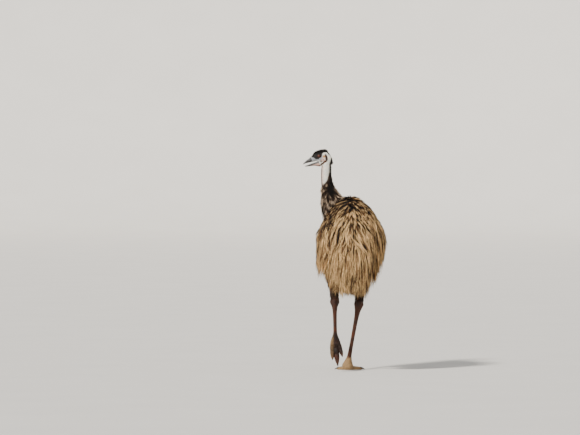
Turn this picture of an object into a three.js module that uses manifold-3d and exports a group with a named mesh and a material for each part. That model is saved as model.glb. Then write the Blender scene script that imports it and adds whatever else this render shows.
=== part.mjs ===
// A still, life-size emu, walking away on its right foot with its left foot lifted behind it,
// its neck swung to its left and its head turned to look over its left side.
// Millimetres, +Z up. The bird heads along +Y, so +X is its right side. The origin is on the
// floor under the joint of the planted right foot.
import * as THREE from "three";
import { ConvexGeometry } from "three/addons/geometries/ConvexGeometry.js";
import { mergeVertices } from "three/addons/utils/BufferGeometryUtils.js";
import Module from "manifold-3d";

const wasm = await Module();
wasm.setup();

const vec = (x, y, z) => new THREE.Vector3(x, y, z);
const { lerp, clamp, degToRad } = THREE.MathUtils;
const UP = vec(0, 0, 1);
const RIGHT = vec(1, 0, 0);
const FAR = 1000;

// The gap between two pieces that touch.
const GAP = 0.3;
// Slivers narrower than this are smoothed away after the joins.
const FINEST = 0.1;
// The sides and rings of round forms: plain ones, the eyes, and the small hollows.
const ROUND = [12, 8];
const EYE_ROUND = [10, 7];
const SMALL_ROUND = [6, 5];
THREE.MathUtils.seededRandom(4219);

// The torso's core: a rounded egg whose middle bends down towards the tail.
const TORSO = {
  x: 18, y: 35, z: 865,
  front: 385, rear: 350, half: 193, rise: 246, drop: 182,
  lift: 25, sag: 15, bluntness: 2.4, pole: 0.02,
};
const TORSO_CUTS = { rump: -95, breast: 185 };
const TORSO_SIDES = 20;
// Rings for each part of a core's length: the torso's by its turn, the neck's by its share.
const RINGS = { torso: 5, neck: 16 };

// The blob that carries the drooping tail plumes.
const TAIL = { at: vec(12, -290, 720), half: vec(112, 80, 122) };

// The loose coat: flat tapered locks that lie down and back and hang free at the hem.
const BODY_LOCK = { root: 9, lift: 38, ridge: 12, width: 82, longest: 225, shortest: 80 };
const BODY_ROWS = {
  breast: [220, 305, 374, 412],
  torso: [150, 62, -30],
  rump: [-118, -200, -272],
};
const ROW_SPACING = 76;
// The turn from the spine at which a row begins, in lock spacings, and where it ends.
const FIRST_LOCK = [0.62, 0.28];
const LOWEST_LOCK = 2.8;
// How far locks stray from their even size, turn, place and length.
const SPREAD = 0.16;
const STRAY = { turn: 0.05, place: 22, length: 0.08, round: 0.2 };
// The way the body's feathers lie. For each part down they go this far back, less towards the
// rear, and near the top they part away from the spine.
const LIE = { back: 0.12, further: 0.6, from: -230, over: 250, top: 880, topOver: 120 };
const PARTING = { away: 0.9, fade: 60 };
// A lock's path is laid in steps, and rises early from its root. Its blade swells past its
// middle, and its ridge sinks towards the tip.
const PATH = { steps: 3, rise: 0.8 };
const LEAF = { root: 0.65, swell: 0.7, sink: 0.75 };
// How much further a blade's cutter reaches on each side, for a gap of 1.
const CUTTER = { side: 11, under: 1.2, back: 2, ridge: 3.5, tip: 16 };
// The height that the hem's tips hang to, along the bird.
const HEM = [
  { y: -420, z: 560 },
  { y: -320, z: 494 },
  { y: -200, z: 545 },
  { y: -100, z: 600 },
  { y: 0, z: 636 },
  { y: 150, z: 662 },
  { y: 300, z: 730 },
  { y: 440, z: 850 },
];
// A lock's length for each part of its drop to the hem.
const HANG_SLACK = 1.12;
const TAIL_LOCK = { root: 9, lift: 36, ridge: 11, width: 66, longest: 215, shortest: 90 };
const TAIL_ROWS = [
  { height: 0.5, from: -1.35, to: 1.35, count: 6 },
  { height: 0, from: -1.7, to: 1.7, count: 7 },
  { height: -0.55, from: -1.9, to: 1.9, count: 6 },
];

// The neck's centreline from inside the breast up to the head, with its radius at each point.
const NECK = [
  { at: vec(0, 330, 925), radius: 125 },
  { at: vec(-48, 392, 1000), radius: 92 },
  { at: vec(-92, 432, 1070), radius: 67 },
  { at: vec(-113, 447, 1130), radius: 50 },
  { at: vec(-131, 447, 1185), radius: 39 },
  { at: vec(-140, 440, 1245), radius: 32 },
  { at: vec(-140, 435, 1300), radius: 31 },
  { at: vec(-137, 434, 1352), radius: 25 },
];
const NECK_CUTS = { base: 0.04, lower: 0.48, upper: 0.64, top: 1 };
const NECK_SIDES = 12;
const NECK_SAMPLES = 40;
// How far the neck's locks turn from its own line towards straight down.
const RUFF_FALL = 0.5;
const RUFFS = {
  neck_lower: {
    rows: [0.45, 0.35, 0.25], count: 7, length: 120, width: 52, ridge: 8, root: 7, lift: 25,
  },
  neck_middle: {
    rows: [0.62, 0.55], count: 6, length: 66, width: 36, ridge: 5, root: 5, lift: 13,
  },
};

// The head, in its own frame: x towards the bill's tip, y to the bird's left, z up, and the
// origin midway between the eyes. It looks over the left side, with the bill dipped.
const HEAD = { at: vec(-187, 434, 1388), dip: degToRad(16) };
const SKULL = [
  { x: -79, top: -34, bottom: -58, half: 10 },
  { x: -74, top: -16, bottom: -68, half: 20 },
  { x: -64, top: 9, bottom: -73, half: 26 },
  { x: -48, top: 27, bottom: -72, half: 28.5 },
  { x: -28, top: 32, bottom: -66, half: 29 },
  { x: -8, top: 33, bottom: -58, half: 29 },
  { x: 10, top: 31, bottom: -38, half: 27 },
  { x: 28, top: 25, bottom: -29, half: 23 },
  { x: 44, top: 15, bottom: -27.5, half: 19.5 },
  { x: 58, top: 7, bottom: -27, half: 17.8 },
  { x: 72, top: 1, bottom: -26.5, half: 16 },
  { x: 88, top: -5, bottom: -26, half: 13.5 },
  { x: 102, top: -12, bottom: -25.5, half: 10 },
  { x: 112, top: -18, bottom: -25.5, half: 6 },
  { x: 116, top: -22, bottom: -25.5, half: 2.5 },
];
const JAW = [
  { x: -22, top: -30, bottom: -58, half: 20 },
  { x: 0, top: -28, bottom: -66, half: 21 },
  { x: 20, top: -29, bottom: -64, half: 19 },
  { x: 46, top: -30, bottom: -54, half: 16.5 },
  { x: 72, top: -32, bottom: -49, half: 13.5 },
  { x: 92, top: -35, bottom: -46, half: 10 },
  { x: 104, top: -36.5, bottom: -42.5, half: 5.5 },
  { x: 108, top: -37, bottom: -40.5, half: 2.5 },
];
const MOUTH = { corner: -5, tip: 124, top: -25.6, cornerZ: -27.6, bottom: -38, width: 80 };
const HEAD_FULLNESS = 2.15;
const BILL_ROOT = 51;
const JAW_ROOT = 16;
const EYE = { radius: 12, side: 20.5 };
const LID = { ring: 11.6, thick: 2.4, side: 26.5 };
const EAR = { x: -41, z: -17, side: 27, ring: 6.5, thick: 1.8, cup: 5 };
const NOSTRIL = { x: 82, z: -12.5, side: 14.5, half: vec(9, 4, 3) };
// Bristly tufts on the crown and down the nape, by their place along the head. The rows turn
// by their side in the middle ones, and half as far in between.
const CROWN = { rows: [36, 18, 0, -18, -36], side: 9, length: 22, width: 13, ridge: 3, rake: 0.62 };
const BRISTLE = { spread: [1.4, 0.7], splay: 0.4, root: 3 };
const NAPE = { rows: [-50, -60], side: 8, length: 24, width: 12, ridge: 3, rake: -0.25 };

// Each leg's joints, and where its claws end.
const LEGS = {
  right: {
    knee: vec(95, 185, 790), hock: vec(70, -75, 432), ankle: vec(1, 0, 46),
    toes: { inner: vec(-87, 52, 6), middle: vec(8, 156, 6), outer: vec(110, 58, 6) },
    soleUp: vec(0, 0, 1), curl: 0,
  },
  left: {
    knee: vec(-100, 205, 840), hock: vec(-86, 62, 443), ankle: vec(-84, -243, 184),
    toes: { inner: vec(-36, -258, 94), middle: vec(-68, -283, 34), outer: vec(-104, -266, 74) },
    soleUp: vec(0, 1, 0), curl: 16,
  },
};
// Half-widths along a leg, across it and fore and aft, by the share of the way down.
const DRUMSTICK = [
  { t: 0, across: 62, along: 84 },
  { t: 0.25, across: 64, along: 84 },
  { t: 0.5, across: 48, along: 60 },
  { t: 0.7, across: 33, along: 41 },
  { t: 0.86, across: 25, along: 30 },
  { t: 0.95, across: 25, along: 29 },
];
const SHANK = [
  { t: -0.06, across: 24, along: 27 },
  { t: 0.0, across: 28.5, along: 31 },
  { t: 0.06, across: 25, along: 28 },
  { t: 0.14, across: 18, along: 21 },
  { t: 0.3, across: 13.5, along: 17 },
  { t: 0.62, across: 12, along: 15 },
  { t: 0.85, across: 14.5, along: 16 },
  { t: 1, across: 21, along: 20 },
];
const LEG_ROWS = [
  { t: 0.42, count: 7, length: 115, width: 52 },
  { t: 0.66, count: 6, length: 88, width: 38 },
];
const LEG_LOCK = { root: 6, lift: 12, ridge: 6 };
const SHIN_SCUTES = { count: 9, from: 0.16, to: 0.94, raise: 2.4 };
const FOOT_PAD = { across: 37, along: 35, height: 36, centre: 24 };
const SOLE_SPREAD = 6;
const TOE_SIZES = {
  middle: { width: 31, height: 31, claw: 34 },
  inner: { width: 23, height: 27, claw: 27 },
  outer: { width: 25, height: 28, claw: 28 },
};
// How a toe narrows and falls to its tip, the swell of its pads, and its middle's height.
const TOE_SHAPE = {
  narrowing: 0.3, fall: 0.42, swell: 0.07, pads: 5, blunt: 8, end: 0.16, middle: 0.42,
  fullness: 2.3,
};
// A claw's shares of its toe's size, its root inside the toe and its tip over the sole.
const CLAW_SHAPE = {
  across: 0.27, above: 0.22, below: 0.16, root: 8, high: 0.3, tip: 2.4, start: 3, point: 0.97,
  curl: 0.9,
};
const TOE_SCUTES = { count: 4, from: 0.34, to: 0.94, raise: 1.6 };

// The wings are tiny: a short drooping spur on each flank with a few trailing locks.
const WING = { y: 225, turn: 1.28, length: 185, width: 74, ridge: 26, root: 12, lift: 18 };
const WING_LOCKS = {
  count: 5, length: 150, width: 40, ridge: 8, lift: 42, out: 6, apart: 14,
};

// Blends a list of sections along one of their own keys, smoothly.
function sectionOf(list, key, value) {
  const last = list.length - 1;
  let i = 0;
  while (i < last - 1 && value > list[i + 1][key]) i += 1;
  const a = list[i];
  const b = list[i + 1];
  const span = b[key] - a[key];
  const t = clamp((value - a[key]) / span, 0, 1);
  const slope = (name, j) => {
    const before = list[Math.max(j - 1, 0)];
    const after = list[Math.min(j + 1, last)];
    return (span * (after[name] - before[name])) / (after[key] - before[key]);
  };
  const rising = t * t * (3 - 2 * t);
  const made = {};
  for (const name of Object.keys(a)) {
    made[name] =
      lerp(a[name], b[name], rising) +
      slope(name, i) * t * (1 - t) ** 2 -
      slope(name, i + 1) * t * t * (1 - t);
  }
  return made;
}

// A number near 1, for the natural spread of sizes.
const varied = (spread = SPREAD) => 1 + (THREE.MathUtils.seededRandom() * 2 - 1) * spread;

// A closed geometry as a solid, turned the right way out.
function solidOf(geometry) {
  const bare = geometry.clone();
  bare.deleteAttribute("normal");
  bare.deleteAttribute("uv");
  const merged = mergeVertices(bare, 1e-4);
  const index = merged.index.array;
  const kept = [];
  for (let i = 0; i < index.length; i += 3) {
    const [a, b, c] = [index[i], index[i + 1], index[i + 2]];
    if (a !== b && b !== c && a !== c) kept.push([a, b, c]);
  }
  const build = (corners) =>
    new wasm.Manifold(
      new wasm.Mesh({
        numProp: 3,
        vertProperties: merged.attributes.position.array,
        triVerts: new Uint32Array(corners.flat()),
      }),
    );
  const made = build(kept);
  return made.volume() < 0 ? build(kept.map(([a, b, c]) => [a, c, b])) : made;
}

// A solid's largest closed surface as a mesh geometry.
function geometryOf(solid) {
  const pieces = solid.decompose();
  const largest = pieces.reduce((a, b) => (b.volume() > a.volume() ? b : a));
  const mesh = largest.simplify(FINEST).getMesh();
  const geometry = new THREE.BufferGeometry();
  geometry.setAttribute("position", new THREE.BufferAttribute(mesh.vertProperties, 3));
  geometry.setIndex(new THREE.BufferAttribute(mesh.triVerts, 1));
  geometry.computeVertexNormals();
  return geometry;
}

const joined = (solids) => solids.reduce((a, b) => a.add(b));
const cutBy = (solid, cutters) => cutters.reduce((a, b) => a.subtract(b), solid);

// A closed loft: a cylinder whose rings move to the sections that sectionAt(t) gives, each with
// a centre, two directions and its reach along them. A power of 2 is an ellipse.
function loft(sectionAt, rings, sides) {
  const geometry = new THREE.CylinderGeometry(1, 1, 1, sides, rings);
  const position = geometry.getAttribute("position");
  for (let i = 0; i < position.count; i += 1) {
    const [x, y, z] = [position.getX(i), position.getY(i), position.getZ(i)];
    const s = sectionAt(y + 0.5);
    const round = Math.min(1, Math.hypot(x, z));
    const angle = Math.atan2(x, z);
    const bend = (v) => Math.sign(v) * Math.abs(v) ** (2 / (s.power ?? 2));
    const high = Math.cos(angle);
    const side = bend(Math.sin(angle)) * round * s.across;
    const rise = bend(high) * round * (high > 0 ? s.above : s.below);
    const p = s.at.clone().addScaledVector(s.right, side).addScaledVector(s.up, rise);
    position.setXYZ(i, p.x, p.y, Math.max(p.z, s.floor ?? -Infinity));
  }
  return solidOf(geometry);
}

// A soft blob: a sphere drawn out to its half-sizes.
function blob(at, half, grow = 0, detail = ROUND) {
  const ball = new THREE.SphereGeometry(1, ...detail);
  ball.rotateX(Math.PI / 2);
  ball.scale(half.x + grow, half.y + grow, half.z + grow);
  ball.translate(at.x, at.y, at.z);
  return solidOf(ball);
}

// A box between two corners.
function box(low, high) {
  const size = high.clone().sub(low);
  const made = new THREE.BoxGeometry(size.x, size.y, size.z);
  made.translate(low.x + size.x / 2, low.y + size.y / 2, low.z + size.z / 2);
  return solidOf(made);
}

// Two directions square to a line, the first as near as can be to the wanted one.
function squareTo(direction, wanted) {
  const right = wanted.clone().addScaledVector(direction, -wanted.dot(direction)).normalize();
  return { right, up: right.clone().cross(direction).normalize() };
}

// One lock: a flat blade along a path, in straight lengths with a three-sided section. It is
// broad to past its middle and then drawn to a point, with its ridge outwards. Grown a little,
// it cuts its neighbours clear of it.
function blade({ path, width, ridge }, grow = 0) {
  const last = path.length - 1;
  const rows = path.map(({ at, out, along }, row) => {
    const t = row / last;
    if (t === 1) return [at.clone().addScaledVector(along, grow * CUTTER.tip)];
    const half = (width / 2) * Math.sqrt(1 - t) * (LEAF.root + LEAF.swell * t);
    const side = along.clone().cross(out).multiplyScalar(half + grow * CUTTER.side);
    const foot = at
      .clone()
      .addScaledVector(out, -grow * CUTTER.under)
      .addScaledVector(along, -grow * CUTTER.back);
    const high = ridge * (1 - LEAF.sink * t) + grow * CUTTER.ridge;
    const top = foot.clone().addScaledVector(out, high);
    return [foot.clone().add(side), foot.sub(side), top];
  });
  return joined(rows.slice(1).map((row, i) => solidOf(new ConvexGeometry([...rows[i], ...row]))));
}

// How far a point stands off an egg or a blob whose size is 1 where value(p) is 1, and the way
// straight out of it there.
function standOff(value, p) {
  const here = value(p);
  const slope = vec(
    value(vec(p.x + 1, p.y, p.z)) - here,
    value(vec(p.x, p.y + 1, p.z)) - here,
    value(vec(p.x, p.y, p.z + 1)) - here,
  );
  return { distance: (here - 1) / slope.length(), out: slope.normalize() };
}

const torsoShare = (y) => (y - TORSO.y) / (y > TORSO.y ? TORSO.front : TORSO.rear);
const torsoShrink = (u) => Math.sqrt(Math.max(1 - Math.abs(u) ** TORSO.bluntness, 0));
const torsoMiddle = (u) => TORSO.z + TORSO.lift * u - TORSO.sag * u * u;

function torsoSize(p) {
  const u = torsoShare(p.y);
  const high = p.z - torsoMiddle(u);
  const share = high / (high > 0 ? TORSO.rise : TORSO.drop);
  return Math.sqrt(Math.abs(u) ** TORSO.bluntness + ((p.x - TORSO.x) / TORSO.half) ** 2 + share ** 2);
}

const tailSize = (p) => p.clone().sub(TAIL.at).divide(TAIL.half).length();

const neckCurve = new THREE.CatmullRomCurve3(NECK.map((n) => n.at));
const neckRadius = (share) => {
  const radii = NECK.map((n, i) => ({ t: i / (NECK.length - 1), radius: n.radius }));
  return sectionOf(radii, "t", share).radius;
};
const neckSamples = Array.from({ length: NECK_SAMPLES + 1 }, (_, i) => {
  const share = i / NECK_SAMPLES;
  return {
    at: neckCurve.getPoint(share),
    along: neckCurve.getTangent(share),
    radius: neckRadius(share),
  };
});

function neckStand(p) {
  const near = neckSamples.reduce((a, b) =>
    p.distanceTo(b.at) - b.radius < p.distanceTo(a.at) - a.radius ? b : a,
  );
  const out = p.clone().sub(near.at);
  return { distance: out.length() - near.radius, out: out.normalize(), along: near.along };
}

const nearest = (...stands) => stands.reduce((a, b) => (b.distance < a.distance ? b : a));
const bodyStand = (p) => nearest(standOff(torsoSize, p), standOff(tailSize, p), neckStand(p));

// The way the body's feathers lie: down, back along the flanks, and away from the spine.
function bodyLie(p) {
  const back = LIE.back + LIE.further * clamp((p.y - LIE.from) / LIE.over, 0, 1);
  const top = clamp((p.z - LIE.top) / LIE.topOver, 0, 1);
  const off = p.x - TORSO.x;
  const away = top * Math.sign(off) * PARTING.away * Math.exp(-Math.abs(off) / PARTING.fade);
  return vec(away, -back, -1);
}

// The path of a lock: from its sunk root it follows the lie over the surface, rises as it goes,
// and hangs free where the surface turns under.
function lockPath(stand, lie, root, { length, root: depth, lift }) {
  const { steps } = PATH;
  const points = [];
  const p = root.clone();
  for (let i = 0; i <= steps; i += 1) {
    const { distance, out } = stand(p);
    const wanted = lerp(-depth, lift, (i / steps) ** PATH.rise);
    if (i === 0 || distance < wanted) p.addScaledVector(out, wanted - distance);
    points.push({ at: p.clone(), out });
    const way = lie(p).normalize();
    way.addScaledVector(out, -Math.min(way.dot(out), 0)).normalize();
    p.addScaledVector(way, length / steps);
  }
  return points.map(({ at, out }, i) => {
    const from = points[Math.max(i - 1, 0)].at;
    const to = points[Math.min(i + 1, steps)].at;
    const along = to.clone().sub(from).normalize();
    return { at, along, out: out.clone().addScaledVector(along, -out.dot(along)).normalize() };
  });
}

// A core and its locks as one solid, and the same grown a little, to cut what lies under it.
function coated(core, fatCore, locks) {
  return {
    solid: joined([core, ...locks.map((lock) => blade(lock))]),
    fat: joined([fatCore, ...locks.map((lock) => blade(lock, GAP))]),
  };
}

// The torso's core between two places along the bird.
function torsoCore(from, to, grow = 0) {
  const T = TORSO;
  const turns = [from, to].map((y) => Math.asin(clamp(torsoShare(y), -1, 1)));
  return loft(
    (t) => {
      const u = Math.sin(lerp(...turns, t));
      const shrink = Math.max(torsoShrink(u), T.pole);
      const y = T.y + u * (u > 0 ? T.front : T.rear) + (t - 0.5) * 2 * grow;
      return {
        at: vec(T.x, y, torsoMiddle(u)), right: RIGHT, up: UP,
        across: T.half * shrink + grow,
        above: T.rise * shrink + grow,
        below: T.drop * shrink + grow,
      };
    },
    Math.max(3, Math.round((turns[1] - turns[0]) * RINGS.torso)),
    TORSO_SIDES,
  );
}

// A lock's length where it grows, so that its tip reaches the hem and no further.
function hangLength(root, sizes) {
  const drop = root.z - sectionOf(HEM, "y", root.y).z;
  return clamp(drop * HANG_SLACK, sizes.shortest, sizes.longest) * varied(STRAY.length);
}

// The rows of locks across one part of the torso, parted along the spine.
function bodyLocks(rows) {
  const locks = [];
  rows.forEach((y, row) => {
    const u = torsoShare(y);
    const shrink = torsoShrink(u);
    const girth = (TORSO.half + TORSO.rise) / 2;
    const step = ROW_SPACING / (girth * shrink);
    const first = step * FIRST_LOCK[row % 2];
    for (let turn = first; turn < LOWEST_LOCK; turn += step) {
      for (const side of [-1, 1]) {
        const angle = side * turn * varied(STRAY.turn);
        const high = Math.cos(angle);
        const root = vec(
          TORSO.x + TORSO.half * shrink * Math.sin(angle),
          y + STRAY.place * (varied(1) - 1),
          torsoMiddle(u) + (high > 0 ? TORSO.rise : TORSO.drop) * shrink * high,
        );
        const sizes = { ...BODY_LOCK, length: hangLength(root, BODY_LOCK) };
        locks.push({
          path: lockPath(bodyStand, bodyLie, root, sizes),
          width: BODY_LOCK.width * varied(),
          ridge: BODY_LOCK.ridge,
        });
      }
    }
  });
  return locks;
}

// The plumes that hang from the tail's blob.
function tailLocks() {
  return TAIL_ROWS.flatMap(({ height, from, to, count }) =>
    Array.from({ length: count }, (_, i) => {
      const turn = lerp(from, to, (i + 0.5) / count);
      const girth = Math.sqrt(1 - height * height);
      const root = TAIL.at.clone().add(
        vec(Math.sin(turn) * girth, -Math.cos(turn) * girth, height).multiply(TAIL.half),
      );
      const sizes = { ...TAIL_LOCK, length: hangLength(root, TAIL_LOCK) };
      return {
        path: lockPath(bodyStand, bodyLie, root, sizes),
        width: TAIL_LOCK.width * varied(),
        ridge: TAIL_LOCK.ridge,
      };
    }),
  );
}

// A length of the neck between two shares of its centreline.
function neckLength(from, to, grow = 0) {
  return loft(
    (t) => {
      const share = lerp(from, to, t);
      const along = neckCurve.getTangent(share);
      const radius = neckRadius(share) + grow;
      const at = neckCurve.getPoint(share).addScaledVector(along, (t - 0.5) * 2 * grow);
      return { at, ...squareTo(along, RIGHT), across: radius, above: radius, below: radius };
    },
    Math.max(2, Math.round((to - from) * RINGS.neck)),
    NECK_SIDES,
  );
}

// The rows of shaggy locks round a length of the neck, lying down it.
function ruffLocks(ruff) {
  return ruff.rows.flatMap((share, row) =>
    Array.from({ length: ruff.count }, (_, i) => {
      const turn = ((i + (row % 2) / 2) / ruff.count) * Math.PI * 2 + (varied(STRAY.round) - 1);
      const along = neckCurve.getTangent(share);
      const { right, up } = squareTo(along, RIGHT);
      const root = neckCurve
        .getPoint(share)
        .addScaledVector(right, Math.sin(turn) * neckRadius(share))
        .addScaledVector(up, Math.cos(turn) * neckRadius(share));
      const lie = (p) => neckStand(p).along.clone().negate().addScaledVector(UP, -RUFF_FALL);
      const sizes = { ...ruff, length: ruff.length * varied() };
      return {
        path: lockPath(bodyStand, lie, root, sizes),
        width: ruff.width * varied(),
        ridge: ruff.ridge,
      };
    }),
  );
}

// A small wing that droops along the flank, with the locks that trail from it.
function wing(side) {
  const u = torsoShare(WING.y);
  const shrink = torsoShrink(u);
  const root = vec(
    TORSO.x + side * TORSO.half * shrink * Math.sin(WING.turn),
    WING.y,
    torsoMiddle(u) + TORSO.rise * shrink * Math.cos(WING.turn),
  );
  const path = lockPath(bodyStand, bodyLie, root, WING);
  const arm = { path, width: WING.width, ridge: WING.ridge };
  const locks = Array.from({ length: WING_LOCKS.count }, (_, i) => {
    const t = ((i + 1) / (WING_LOCKS.count + 1)) * (PATH.steps - 1);
    const at = path[Math.floor(t)].at.clone().lerp(path[Math.floor(t) + 1].at, t % 1);
    const from = at.add(vec(side * WING_LOCKS.out, (i % 2 ? -1 : 1) * WING_LOCKS.apart, 0));
    const sizes = { ...WING_LOCKS, root: -WING.lift / 2, length: WING_LOCKS.length * varied() };
    return {
      path: lockPath(bodyStand, bodyLie, from, sizes),
      width: WING_LOCKS.width,
      ridge: WING_LOCKS.ridge,
    };
  });
  return coated(blade(arm), blade(arm, GAP), locks);
}

// A loft along the head's own x axis from sections with a top, a bottom and a half-width.
function headLoft(list, rings, sides, grow) {
  const first = list[0].x;
  const last = list[list.length - 1].x;
  return loft(
    (t) => {
      const s = sectionOf(list, "x", lerp(first, last, t));
      const reach = (s.top - s.bottom) / 2 + grow;
      return {
        at: vec(lerp(first - grow, last + grow, t), 0, (s.top + s.bottom) / 2),
        right: vec(0, 1, 0), up: UP,
        across: s.half + grow, above: reach, below: reach, power: HEAD_FULLNESS,
      };
    },
    rings,
    sides,
  );
}

const skull = (grow) => headLoft(SKULL, 14, 12, grow);
const lowerJaw = (grow) => headLoft(JAW, 6, 8, grow);

const headMatrix = new THREE.Matrix4()
  .makeBasis(
    vec(-Math.cos(HEAD.dip), 0, -Math.sin(HEAD.dip)),
    vec(0, -1, 0),
    vec(-Math.sin(HEAD.dip), 0, Math.cos(HEAD.dip)),
  )
  .setPosition(HEAD.at);

// The open mouth: a thin wedge from its corner to past the bill's tip.
function mouthWedge() {
  const outline = new THREE.Shape([
    new THREE.Vector2(MOUTH.corner, MOUTH.cornerZ + GAP),
    new THREE.Vector2(MOUTH.corner, MOUTH.cornerZ - GAP),
    new THREE.Vector2(MOUTH.tip, MOUTH.bottom),
    new THREE.Vector2(MOUTH.tip, MOUTH.top),
  ]);
  const wedge = new THREE.ExtrudeGeometry(outline, { depth: MOUTH.width, bevelEnabled: false });
  wedge.rotateX(Math.PI / 2);
  wedge.translate(0, MOUTH.width / 2, 0);
  return solidOf(wedge);
}

// A raised ring round an eye or an ear.
function rim(at, radius, thick) {
  const torus = new THREE.TorusGeometry(radius, thick, 4, 10);
  torus.rotateX(Math.PI / 2);
  torus.translate(at.x, at.y, at.z);
  return solidOf(torus);
}

// The bristly tufts in one band of rows over the skull.
function bristles({ rows, side, length, width, ridge, rake }) {
  return rows.flatMap((x, row) =>
    [-1, 0, 1].filter((y) => (row % 2 ? y !== 0 : true)).map((y) => {
      const s = sectionOf(SKULL, "x", x);
      const middle = (s.top + s.bottom) / 2;
      const turn = (y * side * BRISTLE.spread[row % 2]) / s.half;
      const out = vec(0, Math.sin(turn), Math.cos(turn));
      const root = vec(x, out.y * s.half, middle + (out.z * (s.top - s.bottom)) / 2);
      const along = vec(-1, out.y * BRISTLE.splay, rake).normalize();
      const reach = length * varied();
      const square = out.addScaledVector(along, -out.dot(along)).normalize();
      const path = [0, 1, 2].map((i) => ({
        at: root
          .clone()
          .addScaledVector(square, -BRISTLE.root)
          .addScaledVector(along, (i * reach) / 2),
        along,
        out: square,
      }));
      return blade({ path, width, ridge });
    }),
  );
}

// The head with both halves of the bill, in the head's frame, before it is parted.
function wholeHead() {
  const raised = [];
  const sunk = [mouthWedge()];
  for (const side of [1, -1]) {
    raised.push(rim(vec(0, side * LID.side, 0), LID.ring, LID.thick));
    raised.push(rim(vec(EAR.x, side * EAR.side, EAR.z), EAR.ring, EAR.thick));
    sunk.push(eye(side, GAP));
    sunk.push(blob(vec(EAR.x, side * EAR.side, EAR.z), vec(EAR.cup, EAR.cup, EAR.cup), 0, SMALL_ROUND));
    sunk.push(blob(vec(NOSTRIL.x, side * NOSTRIL.side, NOSTRIL.z), NOSTRIL.half, 0, SMALL_ROUND));
  }
  const tufts = [...bristles(CROWN), ...bristles(NAPE)];
  return cutBy(joined([skull(0), lowerJaw(0), ...raised, ...tufts]), sunk);
}

const eye = (side, grow = 0) =>
  blob(vec(0, side * EYE.side, 0), vec(EYE.radius, EYE.radius, EYE.radius), grow, EYE_ROUND);

// The head's parts, parted at the bill's roots and turned into the bird's frame.
function headParts() {
  const whole = wholeHead();
  const inFront = (x, low, high) => box(vec(x, -FAR, low), vec(FAR, FAR, high));
  const seam = MOUTH.cornerZ;
  const parts = {
    head: cutBy(whole, [inFront(BILL_ROOT - GAP, seam, FAR), inFront(JAW_ROOT - GAP, -FAR, seam)]),
    bill_upper: whole.intersect(inFront(BILL_ROOT, seam, FAR)),
    bill_lower: whole.intersect(inFront(JAW_ROOT, -FAR, seam)),
    eye_left: eye(1),
    eye_right: eye(-1),
  };
  for (const name of Object.keys(parts)) parts[name] = parts[name].transform(headMatrix.toArray());
  return parts;
}

// A limb between two joints, from sections along it. Its up side is its front.
function limb(from, to, sections, rings, sides) {
  const share = (t) => lerp(sections[0].t, sections[sections.length - 1].t, t);
  const { right, up } = limbFrame(from, to);
  return loft(
    (t) => {
      const { across, along } = sectionOf(sections, "t", share(t));
      const at = limbPoint(from, to, share(t));
      return { at, right, up, across, above: along, below: along };
    },
    rings,
    sides,
  );
}

const limbFrame = (from, to) => squareTo(to.clone().sub(from).normalize(), RIGHT);

function limbPoint(from, to, share, further = 0) {
  const way = to.clone().sub(from);
  const length = way.length();
  return from.clone().addScaledVector(way.normalize(), share * length + further);
}

// How far a point stands off a drumstick, and the way out of it.
function limbStand(leg, p) {
  const way = leg.hock.clone().sub(leg.knee);
  const share = clamp(p.clone().sub(leg.knee).dot(way) / way.lengthSq(), 0, 1);
  const { right, up } = limbFrame(leg.knee, leg.hock);
  const s = sectionOf(DRUMSTICK, "t", share);
  const off = p.clone().sub(limbPoint(leg.knee, leg.hock, share));
  const angle = Math.atan2(off.dot(right), off.dot(up));
  const reach = Math.hypot(Math.sin(angle) * s.across, Math.cos(angle) * s.along);
  return { distance: off.length() - reach, out: off.normalize() };
}

// The close feathers down a drumstick.
function legLocks(leg) {
  const way = leg.hock.clone().sub(leg.knee).normalize();
  const { right, up } = limbFrame(leg.knee, leg.hock);
  return LEG_ROWS.flatMap(({ t, count, length, width }, row) =>
    Array.from({ length: count }, (_, i) => {
      const turn = ((i + (row % 2) / 2) / count) * Math.PI * 2;
      const s = sectionOf(DRUMSTICK, "t", t);
      const root = limbPoint(leg.knee, leg.hock, t)
        .addScaledVector(right, Math.sin(turn) * s.across)
        .addScaledVector(up, Math.cos(turn) * s.along);
      const sizes = { ...LEG_LOCK, length: length * varied() };
      return {
        path: lockPath((p) => limbStand(leg, p), () => way.clone(), root, sizes),
        width: width * varied(),
        ridge: LEG_LOCK.ridge,
      };
    }),
  );
}

// The rows of a limb with scutes: one at each scute's upper edge and one at its raised lower
// edge, between the plain rows above and below them.
function scuteRows(before, { count, from, to, raise }, after) {
  const rows = before.map((share) => ({ share, raise: 0 }));
  for (let i = 0; i < count; i += 1) {
    const share = (k) => lerp(from, to, k / count);
    rows.push({ share: share(i + 0.04), raise: 0 }, { share: share(i + 0.96), raise });
  }
  return [...rows, ...after.map((share) => ({ share, raise: 0 }))];
}

// A shank from the hock to the ankle, with broad scutes down its front.
function shank(leg, grow = 0) {
  const rows = scuteRows([-0.06, 0, 0.06, 0.13], SHIN_SCUTES, [0.97, 1]);
  const { right, up } = limbFrame(leg.hock, leg.ankle);
  return loft(
    (t) => {
      const row = rows[Math.round(t * (rows.length - 1))];
      const s = sectionOf(SHANK, "t", row.share);
      return {
        at: limbPoint(leg.hock, leg.ankle, row.share, (t - 0.5) * 2 * grow), right, up,
        across: s.across + row.raise / 2 + grow,
        above: s.along + row.raise + grow,
        below: s.along + grow,
      };
    },
    rows.length - 1,
    8,
  );
}

// A foot's frame: its origin on the sole's plane, and the way up from its sole.
function footFrame(leg) {
  const height = leg.soleUp.z === 1 ? leg.ankle.z : FOOT_PAD.centre;
  return { origin: leg.ankle.clone().addScaledVector(leg.soleUp, -height), up: leg.soleUp };
}

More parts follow.
